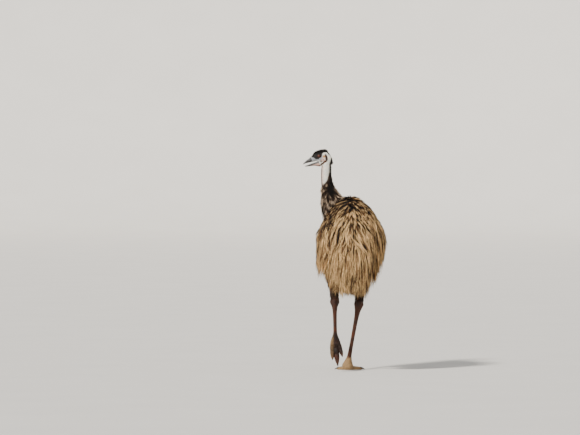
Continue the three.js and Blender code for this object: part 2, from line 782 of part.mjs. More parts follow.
// The rounded pad under the joint where the toes spread, flat where it meets the floor.
function footPad(leg, grow = 0) {
  const { origin, up } = footFrame(leg);
  const dome = new THREE.SphereGeometry(1, 14, 9);
  dome.rotateX(Math.PI / 2);
  dome.scale(FOOT_PAD.across + grow, FOOT_PAD.along + grow, FOOT_PAD.height + grow);
  dome.translate(0, 0, FOOT_PAD.centre);
  const position = dome.getAttribute("position");
  for (let i = 0; i < position.count; i += 1) {
    position.setZ(i, Math.max(position.getZ(i), -grow));
  }
  dome.applyMatrix4(new THREE.Matrix4().makeBasis(RIGHT, up.clone().cross(RIGHT), up));
  dome.translate(origin.x, origin.y, origin.z);
  return solidOf(dome);
}

// One toe in its own frame: x along it from the joint, z up from its flat sole, with scutes
// across its top.
function toeShape(length, size, curl, grow = 0) {
  const T = TOE_SHAPE;
  const rows = scuteRows([0, 0.2], TOE_SCUTES, [1]);
  return loft(
    (t) => {
      const { share, raise } = rows[Math.round(t * (rows.length - 1))];
      const pads = T.swell * Math.sin(share * Math.PI * T.pads);
      const half = (size.width / 2) * (1 - T.narrowing * share + pads);
      const height = size.height * (1 - T.fall * share);
      const round = Math.sqrt(Math.max(1 - share ** T.blunt, T.end));
      const droop = curl * share * share;
      return {
        at: vec(share * length + (t - 0.5) * 2 * grow, 0, height * T.middle - droop),
        right: vec(0, 1, 0), up: UP,
        across: half * round + grow,
        above: height * (1 - T.middle) * round + raise + grow,
        below: height * T.middle + SOLE_SPREAD + grow,
        power: T.fullness,
        floor: -droop - grow,
      };
    },
    rows.length - 1,
    8,
  );
}

// A claw in its toe's frame: a blunt hook that curves down to just over the floor.
function clawShape(toeLength, size, curl) {
  const C = CLAW_SHAPE;
  return loft(
    (t) => {
      const taper = Math.sqrt(1 - C.point * t);
      const high = size.height * C.high * (1 - t * t) + lerp(C.start, C.tip, t);
      const reach = lerp(toeLength - C.root, toeLength + size.claw, t);
      return {
        at: vec(reach, 0, high - curl * (1 + t * C.curl)),
        right: vec(0, 1, 0), up: UP,
        across: size.width * C.across * taper,
        above: size.height * C.above * taper,
        below: size.height * C.below * taper,
      };
    },
    4,
    8,
  );
}

// Where a toe's frame sits: its x axis runs from the joint to under the claw's tip.
function toeMatrix(leg, tip) {
  const { origin, up } = footFrame(leg);
  const reach = tip.clone().sub(origin);
  const forward = reach.addScaledVector(up, -reach.dot(up));
  const length = forward.length();
  forward.normalize();
  const matrix = new THREE.Matrix4()
    .makeBasis(forward, up.clone().cross(forward), up)
    .setPosition(origin);
  return { matrix, length };
}

// The pad, toes and claws of one foot, each toe cut clear of the pad and the toes before it.
function footParts(side, leg) {
  const parts = { [`foot_${side}`]: footPad(leg) };
  const taken = [footPad(leg, GAP)];
  for (const [which, size] of Object.entries(TOE_SIZES)) {
    const { matrix, length: reach } = toeMatrix(leg, leg.toes[which]);
    const length = reach - size.claw;
    const place = (shape) => shape.transform(matrix.toArray());
    const toe = (grow) => place(toeShape(length, size, leg.curl, grow));
    parts[`toe_${which}_${side}`] = cutBy(toe(0), taken);
    const claw = place(clawShape(length, size, leg.curl));
    parts[`claw_${which}_${side}`] = claw.subtract(toe(GAP));
    taken.push(toe(GAP));
  }
  return parts;
}

// Every node as a solid in the bird's frame. What lies on top is made first, and cuts what it
// lies over.
function allParts() {
  const parts = headParts();
  const N = NECK_CUTS;
  const headFat = joined([skull(GAP), lowerJaw(GAP)]).transform(headMatrix.toArray());
  parts.neck_upper = neckLength(N.upper, N.top).subtract(headFat);

  const over = [neckLength(N.upper, N.top, GAP)];
  const lay = (name, { solid, fat }) => {
    parts[name] = cutBy(solid, over);
    over.push(fat);
  };
  const neck = { neck_middle: [N.lower, N.upper], neck_lower: [N.base, N.lower] };
  for (const [name, [from, to]] of Object.entries(neck)) {
    const core = (grow) => neckLength(from, to, grow);
    lay(name, coated(core(0), core(GAP), ruffLocks(RUFFS[name])));
  }
  lay("wing_left", wing(-1));
  lay("wing_right", wing(1));
  const { rump, breast } = TORSO_CUTS;
  const slices = { breast: [breast, FAR], torso: [rump, breast], rump: [-FAR, rump] };
  for (const [name, [from, to]] of Object.entries(slices)) {
    const core = (grow) => torsoCore(from, to, grow);
    lay(name, coated(core(0), core(GAP), bodyLocks(BODY_ROWS[name])));
  }
  const plumage = (grow) => blob(TAIL.at, TAIL.half, grow);
  lay("tail", coated(plumage(0), plumage(GAP), tailLocks()));

  for (const [side, leg] of Object.entries(LEGS)) {
    const drumstick = limb(leg.knee, leg.hock, DRUMSTICK, 7, 12);
    const thigh = joined([drumstick, ...legLocks(leg).map((lock) => blade(lock))]);
    parts[`thigh_${side}`] = cutBy(thigh, [shank(leg, GAP), ...over]);
    parts[`tarsus_${side}`] = shank(leg).subtract(footPad(leg, GAP));
    Object.assign(parts, footParts(side, leg));
  }
  return parts;
}

const FINISH = {
  feathers: { color: 0x8a6a45, roughness: 0.9, metalness: 0 },
  dark: { color: 0x231b16, roughness: 0.85, metalness: 0 },
  paleSkin: { color: 0xcfd4d0, roughness: 0.7, metalness: 0 },
  shin: { color: 0x4a3325, roughness: 0.75, metalness: 0 },
  toes: { color: 0x8c8270, roughness: 0.8, metalness: 0 },
  horn: { color: 0x3a342f, roughness: 0.45, metalness: 0 },
  eye: { color: 0x7a2a10, roughness: 0.1, metalness: 0 },
};

function finishOf(name) {
  const starts = (...words) => words.some((word) => name.startsWith(word));
  if (starts("eye")) return FINISH.eye;
  if (starts("bill", "claw")) return FINISH.horn;
  if (starts("toe", "foot")) return FINISH.toes;
  if (starts("tarsus")) return FINISH.shin;
  if (starts("head", "neck_middle", "neck_lower")) return FINISH.dark;
  return starts("neck_upper") ? FINISH.paleSkin : FINISH.feathers;
}

const group = new THREE.Group();
group.name = "emu";
for (const [name, solid] of Object.entries(allParts())) {
  const mesh = new THREE.Mesh(geometryOf(solid), new THREE.MeshStandardMaterial(finishOf(name)));
  mesh.name = name;
  group.add(mesh);
}

export default group;
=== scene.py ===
"""A life-size emu that walks away on its right foot, its neck swung left and its head turned to
look over its left side. One skin carries the head, neck, body and legs. The eyes, bill and claws
are pieces of their own, and the plumage is made of mesh feathers that grow from the skin."""

import bpy
import numpy as np
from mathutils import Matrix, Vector


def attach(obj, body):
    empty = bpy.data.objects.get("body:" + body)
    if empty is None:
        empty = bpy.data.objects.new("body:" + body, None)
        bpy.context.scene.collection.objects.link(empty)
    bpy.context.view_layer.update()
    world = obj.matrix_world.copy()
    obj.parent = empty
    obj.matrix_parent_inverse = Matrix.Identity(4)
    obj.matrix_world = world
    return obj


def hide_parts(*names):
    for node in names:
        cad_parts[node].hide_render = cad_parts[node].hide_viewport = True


bl_info = {
    "name": "Emu",
    "version": (1, 0, 0),
    "blender": (4, 5, 0),
    "location": "3D View > Sidebar > Emu",
    "description": "Builds a life-size emu with its plumage on a studio floor",
    "category": "Add Mesh",
}

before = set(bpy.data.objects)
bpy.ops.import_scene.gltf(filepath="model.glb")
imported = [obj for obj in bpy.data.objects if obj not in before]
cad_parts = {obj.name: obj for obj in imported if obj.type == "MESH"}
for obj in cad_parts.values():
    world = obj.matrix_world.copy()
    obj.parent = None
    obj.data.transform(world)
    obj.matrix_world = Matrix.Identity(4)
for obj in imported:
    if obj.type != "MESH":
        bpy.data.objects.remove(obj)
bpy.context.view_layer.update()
BODY = "root"

# All sizes below are in millimetres and are made metres when a mesh is made.
MM = 0.001
SEED = 4219

# The torso's egg, the blob under the tail plumes, and the neck's centreline with its radii.
TORSO_AT = np.array((18.0, 35.0, 865.0))
TORSO_FRONT, TORSO_REAR, TORSO_HALF, TORSO_RISE, TORSO_DROP = 385.0, 350.0, 193.0, 246.0, 182.0
TORSO_LIFT, TORSO_SAG, TORSO_BLUNTNESS = 25.0, 15.0, 2.4
# The back slopes like a roof: 2 would be round and 1 straight.
TORSO_ROOF = 1.8
TAIL_AT = np.array((12.0, -290.0, 720.0))
TAIL_HALF = np.array((112.0, 80.0, 122.0))
NECK = np.array((
    (0, 330, 925, 125), (-48, 392, 1000, 92), (-92, 432, 1070, 67), (-113, 447, 1130, 50),
    (-131, 447, 1185, 39), (-140, 440, 1245, 32), (-140, 435, 1300, 31), (-137, 434, 1352, 25),
), float)
# The height that the hem's tips hang to, along the bird.
HEM = np.array((
    (-420, 560), (-320, 494), (-200, 548), (-100, 618), (0, 650), (150, 668), (300, 730),
    (440, 850),
), float)

# The head's own frame: x towards the bill's tip, y to the bird's left, z up.
HEAD_AT = np.array((-187.0, 434.0, 1388.0))
HEAD_DIP = np.radians(16)
HEAD_AXES = np.array((
    (-np.cos(HEAD_DIP), 0, -np.sin(HEAD_DIP)), (0, -1, 0), (-np.sin(HEAD_DIP), 0, np.cos(HEAD_DIP)),
))
# Sections along the head and bill: place, top, bottom and half-width.
SKULL = np.array((
    (-79, -34, -58, 10), (-74, -16, -68, 20), (-64, 9, -73, 26), (-48, 27, -72, 28.5),
    (-28, 32, -66, 29), (-8, 33, -58, 29), (10, 31, -38, 27), (28, 25, -29, 23),
    (44, 15, -27.5, 19.5), (58, 7, -27, 17.8), (72, 1, -26.5, 16), (88, -5, -26, 13.5),
    (102, -12, -25.5, 10), (112, -18, -25.5, 6), (116, -22, -25.5, 2.5),
), float)
JAW = np.array((
    (-22, -30, -58, 20), (0, -28, -66, 21), (20, -29, -64, 19), (46, -30, -54, 16.5),
    (72, -32, -49, 13.5), (92, -35, -46, 10), (104, -36.5, -42.5, 5.5), (108, -37, -40.5, 2.5),
), float)
HEAD_FULLNESS = 2.15
# How low the black cap reaches along the head.
CAP_EDGE = np.array((
    (-80, -25), (-62, -4), (-50, 12), (-36, 14), (-24, 4), (-8, -14), (6, -18), (24, -14), (48, 6),
    (60, 12),
), float)
BILL_ROOT, JAW_ROOT = 51.0, 16.0
MOUTH_CORNER, MOUTH_TIP, MOUTH_Z, MOUTH_OPEN_Z = -5.0, 124.0, -27.6, -38.0
EYE_SIDE, EYE_RADIUS, LID_RADIUS, LID_OPENING = 20.5, 12.0, 13.8, (10.6, 9.0, 8.4)
# Places on each side of the head, along it and up it.
EAR, CHEEK, NOSTRIL = (-41.0, -17.0), (-22.0, -31.0), (82.0, -12.5)

# Each leg's joints, where its claws end, the way up from its sole, and its toes' droop.
LEGS = {
    "right": {
        "knee": (95, 185, 790), "hock": (70, -75, 432), "ankle": (1, 0, 46),
        "toes": {"inner": (-87, 52, 6), "middle": (8, 156, 6), "outer": (110, 58, 6)},
        "sole_up": (0, 0, 1), "sole_height": 46, "curl": 0,
    },
    "left": {
        "knee": (-100, 205, 840), "hock": (-86, 62, 443), "ankle": (-84, -243, 184),
        "toes": {"inner": (-36, -258, 94), "middle": (-68, -283, 34), "outer": (-104, -266, 74)},
        "sole_up": (0, 1, 0), "sole_height": 24, "curl": 16,
    },
}
# Half-widths across and along a leg by the share of the way down it.
DRUMSTICK = np.array((
    (0, 62, 84), (0.25, 64, 84), (0.5, 48, 60), (0.7, 33, 41), (0.86, 25, 30), (0.95, 25, 29),
), float)
SHANK = np.array((
    (-0.06, 24, 27), (0.0, 28.5, 31), (0.06, 25, 28), (0.14, 18, 21), (0.3, 13.5, 17),
    (0.62, 12, 15), (0.8, 13, 15), (0.9, 15, 16), (1, 19, 18),
), float)
# Width, height and claw length of each toe.
TOES = {"middle": (31, 31, 34), "inner": (23, 27, 27), "outer": (25, 28, 28)}
TOE_SIDES = {"inner": -1, "middle": 0, "outer": 1}
TOE_FULLNESS = 2.2
# Each foot's pad, how far it sits along the middle toe, and the shin's flare into it.
PADS = {"right": ((34.0, 40.0, 26.0), 5.0), "left": ((33.0, 38.0, 26.0), 8.0)}
PAD_CENTRE = 20.0
FLARES = {
    "right": np.array((
        (0.8, 12, 14), (0.86, 13, 15), (0.9, 15, 17), (0.94, 20, 22), (1, 29, 30), (1.05, 36, 36),
        (1.09, 30, 28),
    ), float),
    "left": np.array((
        (0.72, 11, 14), (0.8, 15, 17), (0.88, 22, 22), (0.96, 30, 28), (1.04, 34, 30),
        (1.1, 30, 26),
    ), float),
}
# How much wider than its bones a toe of the lifted foot is, and how far apart they start.
FLESHY, TOE_APART = 1.22, 21.0
# How fine the body, foot pads and head are made, in metres, and the head when in a hurry.
BODY_VOXEL, PAD_VOXEL, HEAD_VOXEL, QUICK_VOXEL = 0.01, 0.0025, 0.0015, 0.003
# Heights and places where one kind of skin gives way to another.
NECK_TOP, DRUMSTICK_MIDDLE, HOCK_TOP = 1150, 560, 470
TAIL_FRONT, TAIL_LOW = -180, 400
# Where the body's coat is parted into pieces, and how its wings sit: the place along the torso
# and the angle down from its top.
SHOULDER_Y, RUMP_Y = 150, -70
WING_Y, WING_TURN = 225.0, 1.28

# The eye's colours, and the radii in metres where its pupil and iris end.
PUPIL_COLOUR, RIM_COLOUR = (0.004, 0.003, 0.003, 1), (0.012, 0.007, 0.005, 1)
PUPIL_EDGE, IRIS_EDGE = (0.0044, 0.0049), (0.0072, 0.0084)

# The studio, in metres: its round floor, the wall that curves up from it, and the camera.
FLOOR_RADIUS, WALL_STEPS, WALL_RISE, WALL_SPREAD = 46, 12, 26, 0.26
LIGHTS_AIM = (0.0, 0.0, 0.9)
CAMERA_AT, CAMERA_AIM, CAMERA_LENS = (-0.377, -40.0, 1.65), (-0.377, 0.0, 0.991), 382.0


# --- Numbers ---

def lerp(a, b, t):
    return a + (b - a) * t


def clamp(v, low=0.0, high=1.0):
    return np.clip(v, low, high)


def step(low, high, v):
    """Rises smoothly from 0 at low to 1 at high."""
    t = clamp((v - low) / (high - low))
    return t * t * (3 - 2 * t)


def unit(v):
    return v / np.maximum(np.linalg.norm(v, axis=-1, keepdims=True), 1e-9)


def dot(a, b):
    return (a * b).sum(-1, keepdims=True)


def table_at(table, v):
    """Blends a table's rows smoothly along its first column."""
    x, y = table[:, 0], table[:, 1:]
    last = len(x) - 1
    row = np.arange(len(x))
    before, after = np.maximum(row - 1, 0), np.minimum(row + 1, last)
    slope = (y[after] - y[before]) / (x[after] - x[before])[:, None]
    v = np.clip(v, x[0], x[-1])
    i = np.clip(np.searchsorted(x, v, side="right") - 1, 0, last - 1)
    span = (x[i + 1] - x[i])[:, None]
    t = (v - x[i])[:, None] / span
    return (
        lerp(y[i], y[i + 1], t * t * (3 - 2 * t))
        + span * slope[i] * t * (1 - t) ** 2
        - span * slope[i + 1] * t * t * (1 - t)
    )


def bell(v, width):
    """1 at 0, falling smoothly to almost 0 two widths away."""
    return np.exp(-((v / width) ** 2))


def bent(wave, power):
    """A sine or cosine bent so that its ring is squarer or straighter than a round one."""
    return np.sign(wave) * np.abs(wave) ** power


def tooth(place, crest, fall):
    """Rises over each whole step to a lip at the crest, and drops over what is left of it."""
    rising = place % 1
    return np.where(rising < crest, rising / crest, (1 - rising) / fall)


def ripple(p, size, seed):
    """A soft field between about -1 and 1 that varies over the given size."""
    rng = np.random.default_rng(seed)
    total = np.zeros(len(p))
    for _ in range(5):
        way = unit(rng.normal(size=3)) / size * rng.uniform(0.7, 1.6)
        total += np.sin(p @ way * 2 * np.pi + rng.uniform(0, 2 * np.pi))
    return total / 2.4


# --- The body's form as fields ---

def torso_share(y):
    return (y - TORSO_AT[1]) / np.where(y > TORSO_AT[1], TORSO_FRONT, TORSO_REAR)


def torso_shrink(u):
    return np.sqrt(np.maximum(1 - np.abs(u) ** TORSO_BLUNTNESS, 0))


def torso_middle(u):
    return TORSO_AT[2] + TORSO_LIFT * u - TORSO_SAG * u * u


def torso_size(p):
    u = torso_share(p[:, 1])
    high = p[:, 2] - torso_middle(u)
    share = high / np.where(high > 0, TORSO_RISE, TORSO_DROP)
    wide = (p[:, 0] - TORSO_AT[0]) / TORSO_HALF
    power = np.where(high > 0, TORSO_ROOF, 2.0)
    round_ = (np.abs(wide) ** power + np.abs(share) ** power) ** (2 / power)
    return np.sqrt(np.abs(u) ** TORSO_BLUNTNESS + round_)


def tail_size(p):
    return np.linalg.norm((p - TAIL_AT) / TAIL_HALF, axis=1)


def curve_point(share):
    """Points of the neck's centreline, a smooth curve through its listed points."""
    at = NECK[:, :3]
    last = len(at) - 1
    place = np.atleast_1d(np.asarray(share, float)) * last
    i = np.clip(place.astype(int), 0, last - 1)
    t = (place - i)[:, None]
    a, b = at[i], at[i + 1]
    before = np.where((i > 0)[:, None], at[np.maximum(i - 1, 0)], 2 * a - b)
    after = np.where((i + 1 < last)[:, None], at[np.minimum(i + 2, last)], 2 * b - a)
    return 0.5 * (
        2 * a + (b - before) * t + (2 * before - 5 * a + 4 * b - after) * t ** 2
        + (3 * a - before - 3 * b + after) * t ** 3
    )


def curve_way(share):
    small = 0.004
    share = np.atleast_1d(np.asarray(share, float))
    ahead, behind = np.minimum(share + small, 1), np.maximum(share - small, 0)
    return unit(curve_point(ahead) - curve_point(behind))


def neck_radius(share):
    table = np.column_stack((np.linspace(0, 1, len(NECK)), NECK[:, 3]))
    return table_at(table, np.atleast_1d(share))[:, 0]


NECK_SHARES = np.linspace(0, 1, 61)
NECK_POINTS = curve_point(NECK_SHARES)
NECK_RADII = neck_radius(NECK_SHARES)


def neck_stand(p):
    """The distance off the neck, the way out of it, and the nearest share of its length."""
    off = p[:, None] - NECK_POINTS[None]
    reach = np.linalg.norm(off, axis=2)
    near = (reach - NECK_RADII).argmin(1)
    rows = np.arange(len(p))
    return reach[rows, near] - NECK_RADII[near], unit(off[rows, near]), NECK_SHARES[near]


def stand_off(size, p):
    here = size(p)
    slope = np.stack([size(p + way) - here for way in np.eye(3)], axis=1)
    steep = np.linalg.norm(slope, axis=1)
    return (here - 1) / steep, slope / steep[:, None]


def body_stand(p):
    """The distance off the torso, tail or neck, whichever is nearest, and the way out of it."""
    stands = stand_off(torso_size, p), stand_off(tail_size, p), neck_stand(p)[:2]
    distances, ways = (np.array(part) for part in zip(*stands))
    near, rows = distances.argmin(0), np.arange(len(p))
    return distances[near, rows], ways[near, rows]


def body_lie(p):
    """The way the body's feathers lie: down, back along the flanks, and away from the spine."""
    x, y, z = p.T
    off = x - TORSO_AT[0]
    far = np.abs(off)
    top = step(880, 1000, z)
    back = 0.12 + 0.6 * clamp((y + 230) / 250) + top * 0.9 * np.exp(-far / 40)
    ridge = top * 0.45 * (1 - np.exp(-far / 30)) * np.exp(-far / 100)
    fan = 0.2 * clamp(far / 100) * step(170, 110, far) * step(660, 800, z) * step(-60, -200, y)
    flap = np.where(off > 0, 0.07, 0.17) * step(110, 150, far) * step(900, 840, z)
    tuck = 0.12 * clamp(off / 150) * step(700, 560, z)
    down = 1 - 0.9 * step(120, 260, y) * step(940, 1040, z) * step(150, 70, far)
    return np.stack((np.sign(off) * (ridge + fan + flap) - tuck, -back, -down), axis=1)


def square_to(way):
    """Two ways square to each given one, the first as near the x axis as it can be."""
    way, wanted = np.atleast_2d(way), np.array((1.0, 0.0, 0.0))
    right = unit(wanted - way * dot(way, wanted))
    return right, np.cross(right, way)


def limb_point(start, end, share):
    start, end = np.asarray(start, float), np.asarray(end, float)
    return start + np.atleast_1d(share)[:, None] * (end - start)


def limb_stand(leg):
    """A field of the distance off a drumstick and the way out of it."""
    knee, hock = np.array(leg["knee"], float), np.array(leg["hock"], float)
    way = hock - knee
    right, up = square_to(unit(way))

    def stand(p):
        share = clamp((p - knee) @ way / (way @ way))
        across, along = table_at(DRUMSTICK, share).T
        off = p - limb_point(knee, hock, share)
        angle = np.arctan2((off * right).sum(1), (off * up).sum(1))
        reach = np.hypot(np.sin(angle) * across, np.cos(angle) * along)
        return np.linalg.norm(off, axis=1) - reach, unit(off)

    return stand


def to_world(h):
    return HEAD_AT + np.asarray(h) @ HEAD_AXES


def to_head(p):
    return (p - HEAD_AT) @ HEAD_AXES.T


def foot_frame(leg):
    up = np.array(leg["sole_up"], float)
    return np.array(leg["ankle"], float) - up * leg["sole_height"], up


def toe_frame(leg, which):
    """A toe's frame, from the joint along the toe, and its length without its claw."""
    origin, up = foot_frame(leg)
    reach = np.array(leg["toes"][which], float) - origin
    forward = reach - up * (reach @ up)
    length = np.linalg.norm(forward)
    forward = forward / length
    axes = np.array((forward, np.cross(up, forward), up))
    return origin, axes, length - TOES[which][2]


# --- Colours of skin and coat ---

def linear(*rgb):
    c = np.array(rgb, float) / 255
    return np.where(c <= 0.04045, c / 12.92, ((c + 0.055) / 1.055) ** 2.4)


def blend(a, b, mask):
    a, b = np.asarray(a), np.asarray(b)
    return a + (b - a) * np.asarray(mask)[:, None]


def tones():
    return bpy.context.scene.emu_colours


def sizes():
    return bpy.context.scene.emu_sizes


def head_zones(p):
    """Masks over the head and upper neck: the black cap with its nape, ear, cheek and throat."""
    h = to_head(p)
    x, y, z = h.T
    wobble = 2.0 * ripple(h, 14, 5)
    side = step(10, 18, np.abs(y))
    low = step(-60, -72, z)
    front = neck_stand(p)[1][:, 0] + 0.02 * wobble
    fold = np.abs(z + 52 + 0.41 * (x + 15) + 1.5 * wobble)

    def spot(x_at, z_at, x_half, z_half):
        reach = ((x - x_at) / x_half) ** 2 + ((z - z_at) / z_half) ** 2
        return np.exp(-(reach ** 2)) * side

    crescent = clamp(1.9 * spot(-43, -22, 9, 22) * (1 - spot(-31, -14, 10, 17)))
    return {
        "cap": step(-2.5, 2.5, z - np.interp(x, *CAP_EDGE.T) + wobble),
        "nape": nape_mask(p) * np.maximum(low, step(-50, -60, x - 0.2 * (z + 60))),
        "throat": step(-0.76, -0.9, front) * low,
        "bib": step(-0.3, -0.8, front) * low,
        "ear": spot(-31, -12, 9, 10),
        # Painted shade in the ear's hole, with the dark crescent of skin behind the ear.
        "ear_hole_shade_and_crescent": np.maximum(spot(*EAR, 5, 6.5), crescent),
        "cheek": spot(-21, -30, 12, 11),
        "knob": spot(-21, -29, 5, 5),
        "gape": clamp(1.7 * spot(-4, -35, 8, 8.5)) * (1 - spot(-3, -35, 3.6, 3.6)),
        "chin": step(-60, -64, z) * step(-84, -76, z) * step(2, 10, x),
        "jowl": step(9, 4, fold) * step(-46, -38, x) * step(30, 20, x) * side,
        "lore": step(-25, -18, x) * step(-32, -26, z) * side,
    }


def head_colour(p):
    """The head's and upper neck's markings."""
    zone = head_zones(p)
    c = tones()
    colour = blend(c.neck_skin, c.cheek_skin, 0.55 * (0.5 + 0.5 * ripple(p, 30, 8)))
    for tone, mask in (
        (c.lore, 0.9 * zone["lore"]),
        (c.chin, 0.6 * zone["bib"]),
        (c.throat, np.maximum(np.maximum(zone["throat"], zone["jowl"]), zone["chin"])),
        (c.throat, zone["gape"]),
        (c.cheek, zone["cheek"]),
        (np.array(c.lore) * 0.7, zone["knob"]),
        (c.ear, zone["ear"]),
        # Painted shade in the ear's hole, and the dark skin of the crescent behind it.
        (c.ear_crescent_and_hole_shade, zone["ear_hole_shade_and_crescent"]),
        (c.cap, np.maximum(zone["cap"], zone["nape"])),
    ):
        colour = blend(colour, tone, mask)
    return colour


def body_dark(p):
    """How brown the plumage is by place, from the pale rump to the dark back and flank gaps."""
    x, y, z = p.T
    dark = 0.02 + 0.14 * step(760, 900, z) + 0.72 * step(920, 1090, z) - 0.2 * step(150, 190, x)
    dark = dark + 0.12 * step(-120, 60, y) + 0.34 * step(610, 530, z)
    dark = dark + 0.6 * step(-40, -110, x) * step(800, 950, z)
    # Painted shade: a dark strip low on each flank, towards the rear, where the flank's flap parts
    # from the rump.
    low = step(40, 0, z - np.where(x > TORSO_AT[0], 715, 830))
    flank = step(110, 140, np.abs(x - TORSO_AT[0]))
    flank_gap_shade = step(-135, -100, y) * step(-30, -60, y) * low * flank
    return np.maximum(dark, 0.9 * flank_gap_shade)


def shaded(amount):
    """Plumage from pale through brown to dark."""
    c = tones()
    return blend(blend(c.pale, c.brown, step(0.1, 0.55, amount)), c.shadow, step(0.5, 0.9, amount))


def body_colour(p):
    return shaded(body_dark(p) + 0.25)


def nape_mask(p, narrow=0.62, wide=0.8):
    """The black line down the nape, which turns to the bird's back as the neck comes down."""
    out = neck_stand(p)[1]
    turn = np.radians(72) * step(1245, 1150, p[:, 2])
    facing = out[:, 0] * np.cos(turn) - out[:, 1] * np.sin(turn)
    return step(narrow, wide, facing - 0.03 * ripple(p, 16, 6))


def neck_edge(p):
    """How high the neck's feathers reach: up its back in a point."""
    return 1186 + 84 * nape_mask(p, -0.2, 0.9)


def neck_colour(p):
    """The lower neck's dark plumage, blackest down the nape and towards the head."""
    c = tones()
    nape = nape_mask(p, 0.62, 0.84) * step(1010, 1050, p[:, 2])
    colour = blend(c.brown, c.neck_dark, np.maximum(nape, 0.85))
    return blend(body_colour(p), colour, step(960, 1060, p[:, 2] + 0.25 * (p[:, 1] - 380)))


def leg_colour(p):
    """Brown shins with darker patches, and dust over the planted foot and the lifted one's side."""
    c = tones()
    x, _, z = p.T
    shin = blend(c.shin, c.shin_dark, 0.55 * (0.5 + 0.5 * ripple(p, 60, 12)))
    shin = shin * (1 - 0.4 * step(380, 430, z))[:, None]
    dust_and_painted_light = np.zeros(len(p))
    for leg in LEGS.values():
        away = np.linalg.norm(p - np.array(leg["ankle"], float), axis=1)
        if leg["curl"]:
            # On the lifted foot, the pale left side is partly its grey-tan pads and partly painted
            # light.
            near = 0.7 * step(60, 30, away) * step(-92, -106, x + 5 * ripple(p, 18, 15))
            near = np.maximum(near, 0.3 * step(150, 110, away) * step(-90, -100, x))
            # The lifted foot made darker: partly its own dark brown, partly painted shade.
            shin = shin * (1 - 0.72 * step(120, 60, away))[:, None]
        else:
            near = step(230, 200, away) * step(92, 66, z + 8 * ripple(p, 22, 14))
        dust_and_painted_light = np.maximum(dust_and_painted_light, near)
    return blend(shin, c.foot, dust_and_painted_light)


def skin_colour(p):
    """Every marking of the skin, darker where the coat covers it, and 1 where it is scaly."""
    distance, _, share = neck_stand(p)
    _, y, z = p.T
    legs = (z < HOCK_TOP) & ((y > TAIL_FRONT) | (z < TAIL_LOW))
    thigh = (z < DRUMSTICK_MIDDLE) & ~legs & (y > TAIL_FRONT)
    neck = (share > 0.1) & (distance < 8)
    head = z > NECK_TOP
    high = p[head]
    bare = step(0, 34, high[:, 2] - neck_edge(high))
    # Painted shade: where the coat covers it, the skin takes the coat's colour made darker.
    colour = body_colour(p) * 0.12
    colour[neck] = neck_colour(p[neck]) * 0.5
    colour[head] = blend(neck_colour(high) * 0.8, head_colour(high), bare)
    colour[legs] = leg_colour(p[legs])
    # Painted shade on the thighs' skin under their feathers.
    colour[thigh] = leg_colour(p[thigh]) * 0.6
    return colour, legs.astype(float)


# --- Meshes ---

def deselect():
    bpy.ops.object.select_all(action="DESELECT")


def vertices_of(ob):
    co = np.empty(len(ob.data.vertices) * 3, np.float32)
    ob.data.vertices.foreach_get("co", co)
    return co.reshape(-1, 3).astype(float)


def move_vertices(ob, points):
    ob.data.vertices.foreach_set("co", points.astype(np.float32).ravel())
    ob.data.update()


def closed(ob):
    """Merges a shape's doubles in edit mode and turns its faces outwards."""
    bpy.context.view_layer.objects.active = ob
    bpy.ops.object.mode_set(mode="EDIT")
    bpy.ops.mesh.select_all(action="SELECT")
    bpy.ops.mesh.remove_doubles(threshold=1e-6)
    bpy.ops.mesh.normals_make_consistent(inside=False)
    bpy.ops.object.mode_set(mode="OBJECT")
    return ob


def loft(name, place, rings, sides):
    """A ball whose rings are moved to the sections that place(share, angle, ring) gives. The
    last is 0 at the two poles and 1 between them."""
    deselect()
    bpy.ops.mesh.primitive_uv_sphere_add(segments=sides, ring_count=rings, radius=1)
    ob = bpy.context.object
    ob.name = ob.data.name = name
    x, y, z = vertices_of(ob).T
    share = np.round(np.arccos(clamp(-z, -1, 1)) / np.pi * rings) / rings
    ring = ((share > 0) & (share < 1)).astype(float)
    move_vertices(ob, place(share, np.arctan2(x, y), ring) * MM)
    return closed(ob)


def join(objects, name):
    deselect()
    for ob in objects:
        ob.select_set(True)
    bpy.context.view_layer.objects.active = objects[0]
    bpy.ops.object.join()
    ob = bpy.context.object
    ob.name = ob.data.name = name
    return ob


def modify(ob, kind, **settings):
    """Finishes a shape with one modifier."""
    deselect()
    bpy.context.view_layer.objects.active = ob
    ob.select_set(True)
    modifier = ob.modifiers.new(kind.title(), kind)
    for key, value in settings.items():
        setattr(modifier, key, value)
    bpy.ops.object.modifier_apply(modifier=modifier.name)


def boolean(ob, other, operation):
    modify(ob, "BOOLEAN", object=other, operation=operation, solver="MANIFOLD")
    bpy.data.objects.remove(other, do_unlink=True)
    return ob


def smooth_faces(ob):
    ob.data.polygons.foreach_set("use_smooth", np.ones(len(ob.data.polygons), bool))


def normals_of(ob):
    n = np.empty(len(ob.data.vertices) * 3, np.float32)
    ob.data.vertices.foreach_get("normal", n)
    return n.reshape(-1, 3).astype(float)


def paint(ob, colour, alpha=None):
    """Stores a colour at each point of a mesh."""
    rgba = np.ones((len(ob.data.vertices), 4), np.float32)
    rgba[:, :3] = colour
    if alpha is not None:
        rgba[:, 3] = alpha
    layer = ob.data.color_attributes.new(name="tint", type="FLOAT_COLOR", domain="POINT")
    layer.data.foreach_set("color", rgba.ravel())


def finished(ob, material, slot, *nodes):
    """Gives a piece its material, its body, its slot and the nodes that it stands for."""
    smooth_faces(ob)
    ob.data.materials.clear()
    ob.data.materials.append(material)
    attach(ob, BODY)
    if nodes:
        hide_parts(*nodes)


# --- Materials ---

